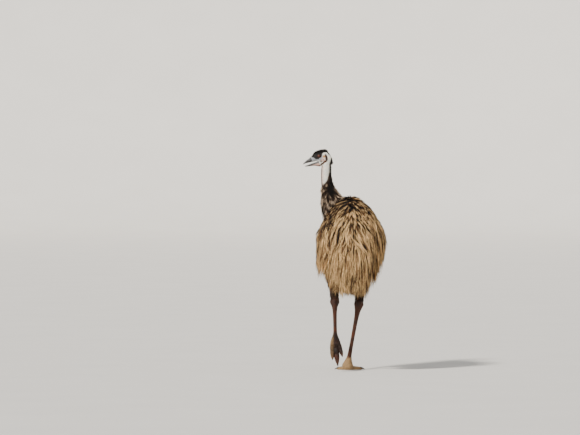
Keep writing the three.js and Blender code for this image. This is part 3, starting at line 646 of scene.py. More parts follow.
class Sum:
    """A value in a material. Arithmetic on it adds Math nodes."""

    def __init__(self, paintbox, socket):
        self.paintbox, self.socket = paintbox, socket

    def math(self, operation, *others):
        inputs = dict(enumerate((self, *others)))
        return self.paintbox.node("Math", {"operation": operation}, inputs)

    def __add__(self, other):
        return self.math("ADD", other)

    def __mul__(self, other):
        return self.math("MULTIPLY", other)

    def __rsub__(self, other):
        return self * -1 + other

    __radd__ = __add__
    __rmul__ = __mul__

    def between(self, low, high):
        """Rises smoothly from 0 at low to 1 at high."""
        settings = {"interpolation_type": "SMOOTHSTEP"}
        return self.paintbox.node("MapRange", settings, {0: self, 1: low, 2: high})


class Paintbox:
    """One material, with its nodes made by one method."""

    def __init__(self, name, **shader):
        self.material = bpy.data.materials.new(name)
        self.material.use_nodes = True
        self.tree = self.material.node_tree
        self.shader = self.tree.nodes["Principled BSDF"]
        self.set(**shader)

    def set(self, **sockets):
        for name, value in sockets.items():
            label = name.replace("_", " ").title().replace("Ior", "IOR")
            self.feed(self.shader.inputs[label], value)

    def feed(self, socket, value):
        if isinstance(value, Sum):
            self.tree.links.new(value.socket, socket)
        else:
            socket.default_value = value

    def node(self, kind, settings=None, inputs=None, output=0):
        made = self.tree.nodes.new("ShaderNode" + kind)
        for key, value in (settings or {}).items():
            setattr(made, key, value)
        for key, value in (inputs or {}).items():
            self.feed(made.inputs[key], value)
        return Sum(self, made.outputs[output])

    def place(self, scale):
        """A point's place on the piece, stretched by the scale."""
        here = self.node("TexCoord", output="Object")
        return self.node("Mapping", {}, {"Vector": here, "Scale": scale})

    def tint(self, output="Color"):
        return self.node("Attribute", {"attribute_name": "tint"}, output=output)

    def noise(self, scale, detail, stretch=(1, 1, 1)):
        inputs = {"Vector": self.place(stretch), "Scale": scale, "Detail": detail}
        return self.node("TexNoise", {}, inputs)

    def cells(self, scale):
        inputs = {"Vector": self.place((1, 1, 1)), "Scale": scale}
        return self.node("TexVoronoi", {"feature": "DISTANCE_TO_EDGE"}, inputs, output="Distance")

    def mix(self, a, b, factor, blend_type="MIX"):
        settings = {"data_type": "RGBA", "blend_type": blend_type}
        return self.node("Mix", settings, {0: factor, 6: a, 7: b}, output=2)

    def tinted(self, value):
        """Colours the piece with its tint times a grey."""
        grey = self.node("CombineColor", {}, {0: value, 1: value, 2: value})
        self.set(base_color=self.mix(self.tint(), grey, 1.0, "MULTIPLY"))

    def bump(self, height, strength, distance):
        inputs = {"Height": height, "Strength": strength, "Distance": distance}
        self.set(normal=self.node("Bump", {}, inputs))


def plumage_material():
    """Soft matt feathers: each tuft's own tint, with fine streaks down the barbs."""
    box = Paintbox("plumage", roughness=0.82, specular_ior_level=0.25)
    streaks = box.noise(90.0, 2.0, (3.0, 3.0, 0.5))
    box.tinted(0.72 + streaks * 0.56)
    box.bump(streaks, 0.25, 0.001)
    return box.material


def skin_material():
    """Bare skin with fine creases, and small round scales over the shins and feet."""
    box = Paintbox("skin", specular_ior_level=0.35)
    mottle = box.noise(160.0, 4.0)
    scaly = box.tint("Alpha")
    edge = box.cells(260.0).between(0.0, 0.12)
    box.tinted((0.8 + mottle * 0.4) * (1 - scaly * (1 - edge) * 0.45))
    box.set(roughness=0.72 - mottle * 0.15)
    creases = box.noise(420.0, 4.0, (1.0, 1.0, 2.2))
    box.bump(creases * (1 - scaly) * 0.5 + edge * scaly, 0.45, 0.0009)
    return box.material


def horn_material(name, roughness):
    """Horn with grain along it, worn smooth."""
    box = Paintbox(name, coat_roughness=0.3)
    grain = box.noise(220.0, 4.0, (0.35, 1.4, 1.4))
    box.tinted(0.75 + grain * 0.5)
    box.set(roughness=roughness + grain * 0.2, coat_weight=0.15 + grain * 0.1)
    box.bump(grain, 0.2, 0.0006)
    return box.material


def eye_material():
    """A dark eye: a black pupil, a red-brown iris with fine rays, and a dark rim."""
    c = tones()
    box = Paintbox(
        "eye", roughness=0.12, specular_ior_level=0.3, coat_weight=0.3, coat_roughness=0.03
    )
    here = box.node("TexCoord", output="Object")
    off = box.node("VectorMath", {"operation": "SUBTRACT"}, {0: here, 1: Vector(HEAD_AT * MM)})
    flat = box.node("VectorMath", {"operation": "MULTIPLY"}, {0: off, 1: (1.0, 0.0, 1.0)})
    reach = box.node("VectorMath", {"operation": "LENGTH"}, {0: flat}, output="Value")
    rays = box.noise(900.0, 2.0).between(0.35, 0.62)
    iris = box.mix((*c.iris_dark, 1), (*c.iris, 1), rays)
    colour = box.mix(PUPIL_COLOUR, iris, reach.between(*PUPIL_EDGE))
    box.set(base_color=box.mix(colour, RIM_COLOUR, reach.between(*IRIS_EDGE)))
    return box.material


def floor_material():
    """A plain pale studio floor."""
    box = Paintbox("studio_floor", roughness=0.85, specular_ior_level=0.2)
    soft = box.noise(1.5, 2.0)
    box.set(base_color=box.mix((0.74, 0.72, 0.68, 1), (0.80, 0.78, 0.74, 1), soft))
    return box.material


# --- Skin ---

def head_place(table, first, last, grow=0.0, shape=None):
    """Sections along the head between two places, in the bird's frame."""

    def place(share, angle, ring):
        x = lerp(first, last, share)
        top, bottom, half = table_at(table, x).T
        power = 2 / HEAD_FULLNESS
        side = bent(np.sin(angle), power) * (half + grow) * ring
        rise = bent(np.cos(angle), power) * ((top - bottom) / 2 + grow) * ring
        h = np.stack((x, side, (top + bottom) / 2 + rise), axis=1)
        return to_world(h if shape is None else shape(h, angle, ring))

    return place


def ring_at(at, right, up, angle, across, above):
    """Points round a line's points, square to it."""
    return at + right * (np.sin(angle) * across)[:, None] + up * (np.cos(angle) * above)[:, None]


def neck_form(name, low, high, rings, sides):
    def place(share, angle, ring):
        share = lerp(low, high, share)
        right, up = square_to(curve_way(share))
        radius = neck_radius(share) * ring
        return ring_at(curve_point(share), right, up, angle, radius, radius)

    return loft(name, place, rings, sides)


def limb_form(name, leg, start, end, table, rings, sides, extra=None):
    a, b = np.array(leg[start], float), np.array(leg[end], float)
    low, high = table[0, 0], table[-1, 0]
    way = unit(b - a)

    def place(share, angle, ring):
        along_leg = lerp(low, high, share)
        across, along = table_at(table, along_leg).T
        grow = extra(along_leg, angle) if extra else 0.0
        right, up = square_to(np.tile(way, (len(share), 1)))
        at = limb_point(a, b, along_leg)
        return ring_at(at, right, up, angle, (across + grow) * ring, (along + grow) * ring)

    return loft(name, place, rings, sides)


def torso_form():
    def place(share, angle, ring):
        u = -np.cos(share * np.pi)
        shrink = torso_shrink(u)
        sin, cos = np.sin(angle), np.cos(angle)
        power = np.where(cos > 1e-6, 2 / TORSO_ROOF, 1.0)
        wide, high = bent(sin, power) * shrink, bent(cos, power) * shrink
        return np.stack((
            TORSO_AT[0] + TORSO_HALF * wide * ring,
            TORSO_AT[1] + u * np.where(u > 0, TORSO_FRONT, TORSO_REAR),
            torso_middle(u) + np.where(cos > 0, TORSO_RISE, TORSO_DROP) * high * ring,
        ), axis=1)

    return loft("torso_form", place, 48, 64)


def unit_ball(share, angle, ring):
    across = np.sin(share * np.pi) * ring
    return np.stack(
        (np.sin(angle) * across, np.cos(angle) * across, -np.cos(share * np.pi)), axis=1
    )


def ball_form(name, at, half, rings=24, sides=36):
    def place(share, angle, ring):
        return np.asarray(at) + unit_ball(share, angle, ring) * np.asarray(half)

    return loft(name, place, rings, sides)


def eye_at(side):
    return to_world((0.0, side * EYE_SIDE, 0.0))


def head_form():
    """The head and upper neck as one fine skin, with lids, folds, ears and an open mouth."""
    parts = [
        loft("skull", head_place(SKULL, SKULL[0, 0], BILL_ROOT + 5), 60, 64),
        loft("jaw", head_place(JAW, JAW[0, 0], JAW_ROOT + 5), 24, 48),
        neck_form("neck_top", 0.44, 1.0, 60, 64),
    ]
    parts += [ball_form("lid", eye_at(side), LID_RADIUS) for side in (1, -1)]
    ob = join(parts, "head_form")
    modify(ob, "REMESH", mode="VOXEL", voxel_size=HEAD_VOXEL)
    modify(ob, "SMOOTH", factor=0.5, iterations=5)
    points, out = vertices_of(ob) / MM, normals_of(ob)
    move_vertices(ob, (points + out * head_relief(points)[:, None]) * MM)
    for side in (1, -1):
        at = to_world((0.5, side * (EYE_SIDE + 14.0), -0.3))
        boolean(ob, ball_form("opening", at, LID_OPENING, 32, 48), "DIFFERENCE")
    return boolean(ob, mouth_wedge(), "DIFFERENCE")


def head_relief(p):
    """How far the skin stands proud of the plain head: brow, cheek, ears and creases."""
    x, y, z = to_head(p).T
    side = step(8, 16, np.abs(y))

    def bump(x_at, z_at, x_half, z_half):
        return np.exp(-((x - x_at) / x_half) ** 2 - ((z - z_at) / z_half) ** 2) * side

    ear = np.hypot((x - EAR[0]) / 0.85, z - EAR[1])
    relief = 1.4 * bell(ear - 7.0, 1.7) * side
    relief -= 4.5 * step(5.4, 2.8, ear) * side
    relief += 2.4 * bump(*CHEEK, 9, 7)
    relief += 1.5 * bump(4, 15.5, 16, 3.5)
    relief -= 1.2 * bump(18, -2, 6, 10)
    gape = np.abs(z - MOUTH_Z - 0.12 * (x + 5) + 1.5)
    relief -= 1.3 * bell(gape, 1.6) * step(-24, -16, x) * side * step(8, 0, x)
    neck = step(-56, -74, z)
    warped = p[:, 2] + 3.0 * ripple(p, 40, 21) + 1.5 * ripple(p, 17, 22)
    creases = np.sin(warped / 5.2 * 2 * np.pi / 1.6)
    relief += 0.45 * creases * neck * (0.5 + 0.5 * ripple(p, 35, 23))
    fold = np.sin(y / 4.6 * np.pi + 1.2 * ripple(p, 30, 24))
    relief += 0.5 * fold * step(-56, -64, z) * step(-10, 4, x)
    relief += 0.3 * ripple(p, 7, 25) * step(40, 20, x)
    return relief


def mouth_wedge():
    """A thin wedge from the mouth's corner forwards, that parts the jaws."""
    deselect()
    bpy.ops.mesh.primitive_cube_add(size=2)
    ob = bpy.context.object
    x, y, z = vertices_of(ob).T
    front = x > 0
    along = np.where(front, MOUTH_TIP, MOUTH_CORNER)
    low = np.where(front, MOUTH_OPEN_Z, MOUTH_Z - 0.5)
    high = np.where(front, MOUTH_Z + 1.2, MOUTH_Z + 0.5)
    h = np.stack((along, y * 60, np.where(z > 0, high, low)), axis=1)
    move_vertices(ob, to_world(h) * MM)
    return closed(ob)


def shin_scutes(share, angle):
    """Broad overlapping scutes down a shin's front, and smaller ones down its back."""
    place = lerp(0, 17, clamp((share - 0.1) / 0.86))
    inside = step(0.09, 0.13, share) * step(0.9, 0.84, share)
    front = tooth(place, 0.88, 0.12)
    back = step(-0.55, -0.8, np.cos(angle)) * tooth(place * 1.7, 0.8, 0.2)
    knob = 3.0 * bell(share - 0.01, 0.035) * np.abs(np.sin(angle)) ** 3
    return (1.9 * front * step(0.15, 0.55, np.cos(angle)) + 0.9 * back) * inside + knob


def foot_forms(side, leg):
    """The shin's end flared into a fleshy pad, and three toes."""
    origin, up = foot_frame(leg)
    right = np.array((1.0, 0.0, 0.0))
    axes = np.array((right, np.cross(up, right), up))
    middle = toe_frame(leg, "middle")[1][0]
    half, along = PADS[side]

    def pad(share, angle, ring):
        local = unit_ball(share, angle, ring) * half + (0, 0, PAD_CENTRE)
        return origin + middle * along + local @ axes

    flare = limb_form("flare", leg, "hock", "ankle", FLARES[side], 24, 32)
    ob = join([loft("pad", pad, 32, 40), flare], f"pad_{side}")
    modify(ob, "REMESH", mode="VOXEL", voxel_size=PAD_VOXEL)
    modify(ob, "SMOOTH", factor=0.5, iterations=10)
    points, out = vertices_of(ob) / MM, normals_of(ob)
    points = points + out * (0.8 * ripple(points, 12, 51) + 0.4 * ripple(points, 5, 52))[:, None]
    if not leg["curl"]:
        points[:, 2] = np.maximum(points[:, 2], 0.0)
    move_vertices(ob, points * MM)
    return [ob] + [toe_form(leg, which) for which in TOES]


def toe_form(leg, which):
    """A toe with scutes across its top and cushions under it."""
    origin, axes, length = toe_frame(leg, which)
    width, height, _ = TOES[which]
    lifted = leg["curl"] > 0
    length = length + (24 if lifted else 9)
    width = width * (FLESHY if lifted else 1.15)
    spread = TOE_SIDES[which] * TOE_APART if lifted else 0
    power = 2 / TOE_FULLNESS

    def place(share, angle, ring):
        sin, cos = np.sin(angle), np.cos(angle)
        cushions = np.abs(np.sin((share * 3.4 + 0.3) * np.pi)) ** 0.6
        taper = 0.5 * share ** 6 if lifted else 0.36 * share ** 4
        half = width / 2 * (1 - taper) * lerp(0.93, 1.0, cushions)
        tall = height * (1 - 0.36 * share)
        tip, root = np.maximum(1 - share ** 6, 0.0), 1 - (1 - clamp(share / 0.25)) ** 2
        blunt = np.sqrt(tip * root) * ring
        lip = tooth(clamp((share - 0.22) / 0.74) * 12, 0.82, 0.18)
        scute = 1.3 * lip * step(0.1, 0.5, cos) * step(0.2, 0.26, share) * step(0.97, 0.92, share)
        sole = (tall * 0.42 + 4) * lerp(0.78, 1.12, cushions) * blunt
        rise = bent(cos, power) * np.where(cos > 0, tall * 0.58 * blunt + scute * ring, sole)
        high = tall * 0.42 - leg["curl"] * share * share + rise * (1.15 if lifted else 1.0)
        if not lifted:
            high = np.maximum(high, 0.0)
        across = bent(sin, power) * half * blunt + spread * (1 - share)
        return origin + np.stack((share * length, across, high), axis=1) @ axes

    return loft("toe", place, 72, 28)


def build_skin():
    """One closed skin over the whole bird."""
    body = [
        torso_form(),
        ball_form("tail_form", TAIL_AT, TAIL_HALF),
        neck_form("neck_low", 0.0, 0.56, 40, 40),
    ]
    drumstick = np.vstack((DRUMSTICK, (1.01, 26, 29)))
    for leg in LEGS.values():
        body.append(limb_form("drumstick", leg, "knee", "hock", drumstick, 40, 32))
    skin = join(body, "skin")
    modify(skin, "REMESH", mode="VOXEL", voxel_size=BODY_VOXEL)
    modify(skin, "SMOOTH", factor=0.5, iterations=6)
    pieces = [head_form()]
    for side, leg in LEGS.items():
        pieces.append(limb_form("shin", leg, "hock", "ankle", SHANK, 150, 36, shin_scutes))
        pieces += foot_forms(side, leg)
    for piece in pieces:
        boolean(skin, piece, "UNION")
    closed(skin)
    paint(skin, *skin_colour(vertices_of(skin) / MM))
    nodes = ["head", "neck_upper", "neck_middle", "neck_lower", "breast", "torso", "rump", "tail"]
    for side in LEGS:
        nodes += [f"thigh_{side}", f"tarsus_{side}", f"foot_{side}"]
        nodes += [f"toe_{which}_{side}" for which in TOES]
    plumage_material()
    finished(skin, skin_material(), "neck_skin", *nodes)


# --- Eyes, bill and claws ---

def build_eyes():
    material = eye_material()
    for name, side in (("eye_left", 1), ("eye_right", -1)):
        at = eye_at(side)
        ob = ball_form(name + "_ball", at, EYE_RADIUS, 48, 64)
        points = vertices_of(ob) / MM - at
        facing = np.arccos(clamp(-points[:, 1] * side / EYE_RADIUS, -1, 1))
        bulge = 1 + 0.05 * bell(facing, 0.55)
        move_vertices(ob, (at + points * bulge[:, None]) * MM)
        finished(ob, material, "eye", name)


def bill_colour(p, lower):
    """Grey horn, paler along the ridge and the cutting edges, dark in the nostril and mouth."""
    c = tones()
    x, y, z = to_head(p).T
    if lower:
        under = z - table_at(JAW, x)[:, 1]
        parting = lerp(MOUTH_Z, MOUTH_OPEN_Z, (x - MOUTH_CORNER) / (MOUTH_TIP - MOUTH_CORNER))
        inside = step(0.6, 0.2, np.abs(z - parting) / 2)
        colour = blend(c.bill, c.chin, step(-42, -47, z) * step(75, 50, x))
        colour = blend(colour, np.array(c.throat) * 1.6, step(7, 4, under) * step(70, 58, x))
        # Painted shade inside the open mouth, along its parting.
        return blend(colour, c.mouth_shade, inside * step(13, 10, np.abs(y) + 0.08 * x))
    top = table_at(SKULL, x)[:, 0]
    nostril = ((x - NOSTRIL[0]) / 9.5) ** 2 + ((z - NOSTRIL[1]) / 3.6) ** 2
    # Painted highlight along the top of the bill's ridge.
    colour = blend(c.bill, c.bill_highlight_and_pale_edge, 0.8 * step(5.5, 1.5, top - z) * step(52, 66, x))
    colour = blend(colour, c.bill_highlight_and_pale_edge, 0.6 * step(-20.5, -23, z) * step(-27.5, -25.5, z))
    # Painted shade in the sunk nostril.
    dark = step(1.25, 0.75, nostril) * step(5, 9, np.abs(y))
    colour = blend(colour, np.array(c.mouth_shade) * 0.5, dark)
    # Painted shade under the upper bill's edge, inside the mouth.
    return blend(colour, c.mouth_shade, step(-25.9, -26.4, z) * step(12, 9, np.abs(y)))


def upper_bill_shape(h, angle, ring):
    """A hooked ridge, sunk nostrils with a raised edge, and a hollow palate."""
    x, y, z = h.T
    reach = ((x - NOSTRIL[0]) / 9.0) ** 2 + ((z - NOSTRIL[1]) / 3.4) ** 2
    pit = 4.2 * step(1.05, 0.45, reach) - 0.7 * bell(np.sqrt(reach) - 1.25, 0.25)
    y = y - np.sign(y) * pit * step(4, 9, np.abs(y))
    groove = bell(z - NOSTRIL[1] - 5, 1.6) * step(58, 66, x) * step(104, 94, x)
    y = y - np.sign(y) * 0.7 * groove
    hollow = step(-0.72, -0.9, np.cos(angle)) * 2.2 * step(116, 100, x)
    return np.stack((x, y, z + hollow * ring), axis=1)


def lower_bill_shape(h, angle, ring):
    """The lower bill under the open mouth, with a shallow trough along it."""
    x, y, z = h.T
    share = clamp((x - MOUTH_CORNER) / (MOUTH_TIP - MOUTH_CORNER))
    edge = lerp(MOUTH_Z - 0.5, MOUTH_OPEN_Z, share)
    trough = 1.6 * step(0.72, 0.9, np.cos(angle)) * step(108, 96, x)
    swell = 1.5 * step(38, 20, x) * ring
    y, z = y + np.sign(y) * np.abs(np.sin(angle)) * swell, z + np.cos(angle) * swell
    return np.stack((x, y, np.minimum(z, edge) - trough * ring), axis=1)


def build_bill():
    material = horn_material("bill_horn", 0.38)
    upper = head_place(SKULL, BILL_ROOT - 9, SKULL[-1, 0], -0.25, upper_bill_shape)
    lower = head_place(JAW, JAW_ROOT - 7, JAW[-1, 0], -0.25, lower_bill_shape)
    for node, place, rings, sides in (
        ("bill_upper", upper, 110, 72), ("bill_lower", lower, 90, 56),
    ):
        ob = loft(node + "_horn", place, rings, sides)
        paint(ob, bill_colour(vertices_of(ob) / MM, place is lower))
        finished(ob, material, "bill_horn", node)


def claw_form(name, leg, which):
    origin, axes, length = toe_frame(leg, which)
    width, height, claw = TOES[which]

    def place(share, angle, ring):
        sin, cos = np.sin(angle), np.cos(angle)
        taper = np.sqrt(1 - 0.985 * share) * ring
        middle = height * 0.3 * (1 - share * share) + 3 - 0.6 * share
        keel = 1 + 0.18 * np.maximum(cos, 0) ** 4
        across = sin * width * 0.36 * taper
        rise = cos * np.where(cos > 0, height * 0.26 * keel, height * 0.2) * taper
        high = middle - leg["curl"] * (0.55 + share * 0.9) + rise
        local = np.stack((length - 8 + share * (claw + 8), across, high), axis=1)
        return origin + local @ axes

    return loft(name, place, 30, 20)


def build_claws():
    material = horn_material("claw_horn", 0.6)
    c = tones()
    for side, leg in LEGS.items():
        for which in TOES:
            node = f"claw_{which}_{side}"
            ob = claw_form(node + "_horn", leg, which)
            origin, axes, length = toe_frame(leg, which)
            along = ((vertices_of(ob) / MM - origin) @ axes.T)[:, 0]
            worn = step(length + TOES[which][2] * 0.7, length + TOES[which][2], along)
            paint(ob, blend(c.claw, c.claw_tip, worn))
            finished(ob, material, "claw_horn", node)


# --- Coat ---

# Where along its length a strand has its points, closest together in the part that shows.
STRAND_SHARES = np.array((0.0, 0.35, 0.65, 0.87, 1.0))
# How many strands a tuft has, and the share of its length whose place gives it its tint.
TUFT_STRANDS, SHOWN = 6, 0.78
# How big a strand is on its piece's map.
PATCH_SIZE = 0.003


def settled(corners):
    """Triangles in an order that is the same each run. The union leaves the head's in any order."""
    first = corners.argmin(1)[:, None]
    turned = np.take_along_axis(corners, (first + np.arange(3)) % 3, axis=1)
    return turned[np.lexsort(turned.T[::-1])]


def skin_roots(count, keep, spacing, seed, settle=False):
    """Evenly strewn points on the skin where keep(points) holds, with the way out of it."""
    skin = bpy.data.objects["skin"]
    skin.data.calc_loop_triangles()
    corners = np.empty(len(skin.data.loop_triangles) * 3, np.int32)
    skin.data.loop_triangles.foreach_get("vertices", corners)
    corners = corners.reshape(-1, 3)
    if settle:
        corners = settled(corners)
    a, b, c = (vertices_of(skin) / MM)[corners].transpose(1, 0, 2)
    wanted = keep((a + b + c) / 3)
    a, b, c = a[wanted], b[wanted], c[wanted]
    facing = np.cross(b - a, c - a)
    area = np.linalg.norm(facing, axis=1)
    rng = np.random.default_rng(seed)
    pick = rng.choice(len(a), size=count, p=area / area.sum())
    r, s = np.sqrt(rng.random(count))[:, None], rng.random(count)[:, None]
    roots = (1 - r) * a[pick] + r * (1 - s) * b[pick] + r * s * c[pick]
    cell = np.floor(roots / spacing).astype(int)
    first = np.sort(np.unique(cell, axis=0, return_index=True)[1])
    return roots[first], unit(facing[pick][first])


def grow_paths(roots, stand, lie, length, lift, depth, steps, swing):
    """Lines that follow the lie over the surface from sunk roots, and rise as they go."""
    p = roots.copy()
    line, outs = [], []
    for i in range(steps + 1):
        distance, out = stand(p)
        wanted = lerp(-depth, lift, (i / steps) ** 0.8)
        hang = np.where(out[:, 2] > 0.0, 0.75, 0.0)
        push = (wanted - distance) * np.where((i == 0) | (distance < wanted), 1.0, hang)
        p = p + out * push[:, None]
        line.append(p)
        outs.append(out)
        way = unit(lie(p))
        way = unit(way - out * np.minimum(dot(way, out), 0))
        aside = np.cross(way, out)
        way = unit(way * np.cos(swing)[:, None] + aside * np.sin(swing)[:, None])
        p = p + way * (length / steps)[:, None]
    return np.stack(line, axis=1), np.stack(outs, axis=1)


def sample(line, t):
    """A line's points at the shares t, each row's own."""
    place = t * (line.shape[1] - 1)
    i = np.clip(place.astype(int), 0, line.shape[1] - 2)
    rows = np.arange(len(line))[:, None]
    return lerp(line[rows, i], line[rows, i + 1], (place - i)[..., None])


def strand_mesh(name, slot, line, outs, shares, width, thick, colour, patch):
    """Many closed, pointed, three-sided strands as one mesh. The lines are (strand, point, xyz)
    with a point for each share of the length, and the colours have a row for each point."""
    count, rings = len(line), line.shape[1] - 1
    along = unit(np.gradient(line, axis=1))
    side = unit(np.cross(along, outs))
    ridge = np.cross(side, along)
    t = shares[:rings]
    half = (width[:, None] * (np.sqrt(1 - t) * (0.7 + 0.65 * t)) / 2)[..., None]
    high = (thick[:, None] * (1 - 0.6 * t))[..., None]
    base, side, ridge = line[:, :rings], side[:, :rings], ridge[:, :rings]
    rows = np.stack((base + side * half, base - side * half, base + ridge * high), axis=2)
    verts = np.concatenate((rows.reshape(count, rings * 3, 3), line[:, -1:]), axis=1)
    tip = rings * 3
    faces = [(0, 1, 2)]
    for a in range(0, tip - 3, 3):
        b = a + 3
        for m, n in ((0, 2), (2, 1), (1, 0)):
            faces += [(a + m, a + n, b + n), (a + m, b + n, b + m)]
    faces += [(tip - 3, tip - 1, tip), (tip - 1, tip - 2, tip), (tip - 2, tip - 3, tip)]
    faces = np.array(faces)[:, ::-1]
    index = (np.arange(count)[:, None, None] * (tip + 1) + faces).reshape(-1, 3)
    mesh = bpy.data.meshes.new(name)
    mesh.vertices.add(count * (tip + 1))
    mesh.vertices.foreach_set("co", (verts * MM).astype(np.float32).ravel())
    mesh.loops.add(index.size)
    mesh.loops.foreach_set("vertex_index", index.astype(np.int32).ravel())
    mesh.polygons.add(len(index))
    mesh.polygons.foreach_set("loop_start", np.arange(0, index.size, 3, dtype=np.int32))
    mesh.update(calc_edges=True)
    ob = bpy.data.objects.new(name, mesh)
    bpy.context.scene.collection.objects.link(ob)
    shade = np.concatenate((np.repeat(colour[:, :rings], 3, axis=1), colour[:, -1:]), axis=1)
    paint(ob, shade.reshape(-1, 3))
    u, v = np.append(np.tile((0.0, 1.0, 0.5), rings), 0.5), np.append(np.repeat(t, 3), 1.0)
    local = np.stack((u, v), axis=1) * PATCH_SIZE
    layer = mesh.uv_layers.new(name="OFBake")
    uv = patch[:, None] + local[faces.ravel()][None]
    layer.data.foreach_set("uv", uv.astype(np.float32).ravel())
    finished(ob, bpy.data.materials["plumage"], slot)


def tufts(
    name, slot, roots, stand, lie, tint, patch, seed, *, length, lift, root=4, strands=None,
    spread=2.8, pinch=0.5, wave=4.0, roll=0.5, width=2.4, bold=0.12, stray=0.14, sweep=0.1,
):
    """A piece of the coat: tufts whose strands start round a root and draw together. Length and
    lift give each tuft its own, and root is how deep it starts. Its strands start within the
    spread, pinch in, wave and roll. A share of them is bold, and tufts stray and sweep aside."""
    rng = np.random.default_rng(seed)
    strands = strands or quicker(TUFT_STRANDS)
    count = len(roots)
    reach, rise = length(roots, rng), lift(roots, rng)
    swing = stray * rng.normal(size=count) + sweep * ripple(roots, 120, seed + 1)
    line, outs = grow_paths(roots, stand, lie, reach, rise, root, 5, swing)
    shown = sample(line, np.full((count, 1), SHOWN))[:, 0]
    owner = np.repeat(np.arange(count), strands)
    total = len(owner)
    line, outs = line[owner], outs[owner]
    along = unit(line[:, 1] - line[:, 0])
    side = unit(np.cross(along, outs[:, 0]))
    t = STRAND_SHARES
    shares = t * rng.uniform(0.78, 1.0, total)[:, None]
    path, out = sample(line, shares), unit(sample(outs, shares))
    apart = rng.normal(size=(total, 2)) * spread
    gather = (1 - pinch * t ** 1.3)[None, :, None]
    path = path + (side * apart[:, :1] + along * apart[:, 1:])[:, None] * gather
    bend = rng.normal(size=(total, 2)) * wave
    curl = (t ** 1.6)[None, :, None]
    path = path + side[:, None] * bend[:, :1, None] * curl
    path = path + out * np.abs(bend[:, 1:, None]) * curl * 0.6
    turn = rng.normal(size=total)[:, None, None] * roll
    facing = unit(out + side[:, None] * turn)
    wide = width * rng.uniform(0.6, 1.45, total)
    wide = np.where(rng.random(total) < bold, wide * 1.8, wide)
    colour = tint(shown, rng)[owner] * rng.uniform(0.7, 1.25, total)[:, None]
    shade = colour[:, None] * root_shade_and_dark_tips(t, rng.random(total)[:, None])[..., None]
    strand_mesh(name, slot, path, facing, t, wide, wide * 0.3, shade, patch[owner])


def uneven(roots, rng, seed):
    """How much darker or lighter each tuft is than its place."""
    return 0.6 * rng.normal(size=len(roots)) + 1.2 * ripple(roots * (1, 0.4, 0.18), 13, seed)


def body_tint(roots, rng):
    return shaded(body_dark(roots) + 0.72 * uneven(roots, rng, 31) + 0.06)


def streaked(marking, contrast, seed):
    """A tint for each tuft: its place's marking, in lighter and darker streaks."""

    def tint(roots, rng):
        factor = np.exp(-contrast * np.clip(uneven(roots, rng, seed), -1.6, 2.2))
        return marking(roots) * factor[:, None]

    return tint


def root_shade_and_dark_tips(t, roll):
    """Dark at the root and at the very tip, palest past the middle."""
    # Painted shade over the strand's root.
    middle = 0.22 + 0.78 * step(0.3, 0.68, t)[None]
    return middle * (1 - (0.35 + 0.4 * roll) * step(0.88, 1.0, t)[None])


def hem_length(shortest):
    """Feathers long enough to hang to the hem, within the shortest and longest."""
    longest = sizes().feather_length / MM

    def length(roots, rng):
        x, y, z = roots.T
        notch = step(-50, -112, x) * step(-165, -130, x)
        hem = table_at(HEM, y)[:, 0]
        hem = hem + 12 * step(110, 160, x) + 40 * step(150, 185, x) + 78 * notch
        most = lerp(longest, longest * 0.42, step(880, 1040, z))
        return clamp((z - hem) * 1.12, shortest, most) * rng.uniform(0.82, 1.1, len(roots))

    return length


def spread_between(low, high):
    return lambda roots, rng: rng.uniform(low, high, len(roots))


def quicker(value):
    return value


def patch_at(angle, share):
    """Each tuft's spot on its piece's map, from where it is round the piece and along it."""
    return np.stack((0.01 + 0.97 * (angle / (2 * np.pi) + 0.5), 0.01 + 0.97 * share), axis=1)


def on_body(p):
    torso, tail, neck = (
        stand_off(torso_size, p)[0], stand_off(tail_size, p)[0], neck_stand(p)[0]
    )
    near = (torso < 18) & (torso <= tail + 2) & (torso <= neck + 3)
    legs = np.min([limb_stand(leg)(p)[0] for leg in LEGS.values()], axis=0)
    return near & (legs > -6) & (p[:, 2] > 600)


def body_lift(roots, rng):
    """Feathers lie close over the back, stand up along its ridge and puff out at the flanks."""
    count = len(roots)
    off = roots[:, 0] - TORSO_AT[0]
    side = step(1040, 880, roots[:, 2])
    ridge = 13 * bell(off, 24) * (1 - side)
    stray = np.where(rng.random(count) < 0.07, 1.25, 1.0)
    lift = (lerp(8, 38, side) + ridge) * rng.uniform(0.74, 1.05, count) * stray
    low = step(880, 800, roots[:, 2] - np.where(off > 0, 160, 0))
    puff = rng.uniform(4, 17, count) + np.where(off > 0, 3, 12)
    return lift + step(120, 160, np.abs(off)) * low * puff


def build_body_coat():
    spacing = sizes().tuft_spacing / MM
    roots, _ = skin_roots(160000, on_body, spacing, SEED)
    x, y, _ = roots.T
    front, rear = y > SHOULDER_Y, y <= RUMP_Y
    zones = {"shoulder": front, "back": ~front & ~rear, "rump": rear}
    for zone, inside in zones.items():
        for side, where in (("left", x < TORSO_AT[0]), ("right", x >= TORSO_AT[0])):
            own = roots[inside & where]
            angle = np.arctan2(own[:, 0] - TORSO_AT[0], own[:, 2] - TORSO_AT[2])
            patch = patch_at(angle, clamp((own[:, 1] + 440) / 900))
            tufts(
                f"coat_{zone}_{side}", "body_feathers", own, body_stand, body_lie, body_tint, patch,
                SEED + len(own), length=hem_length(80), lift=body_lift, root=6, spread=2.4,
                pinch=0.45, wave=4.5, roll=0.6, width=sizes().strand_width / MM, stray=0.16,
                sweep=0.14,
            )


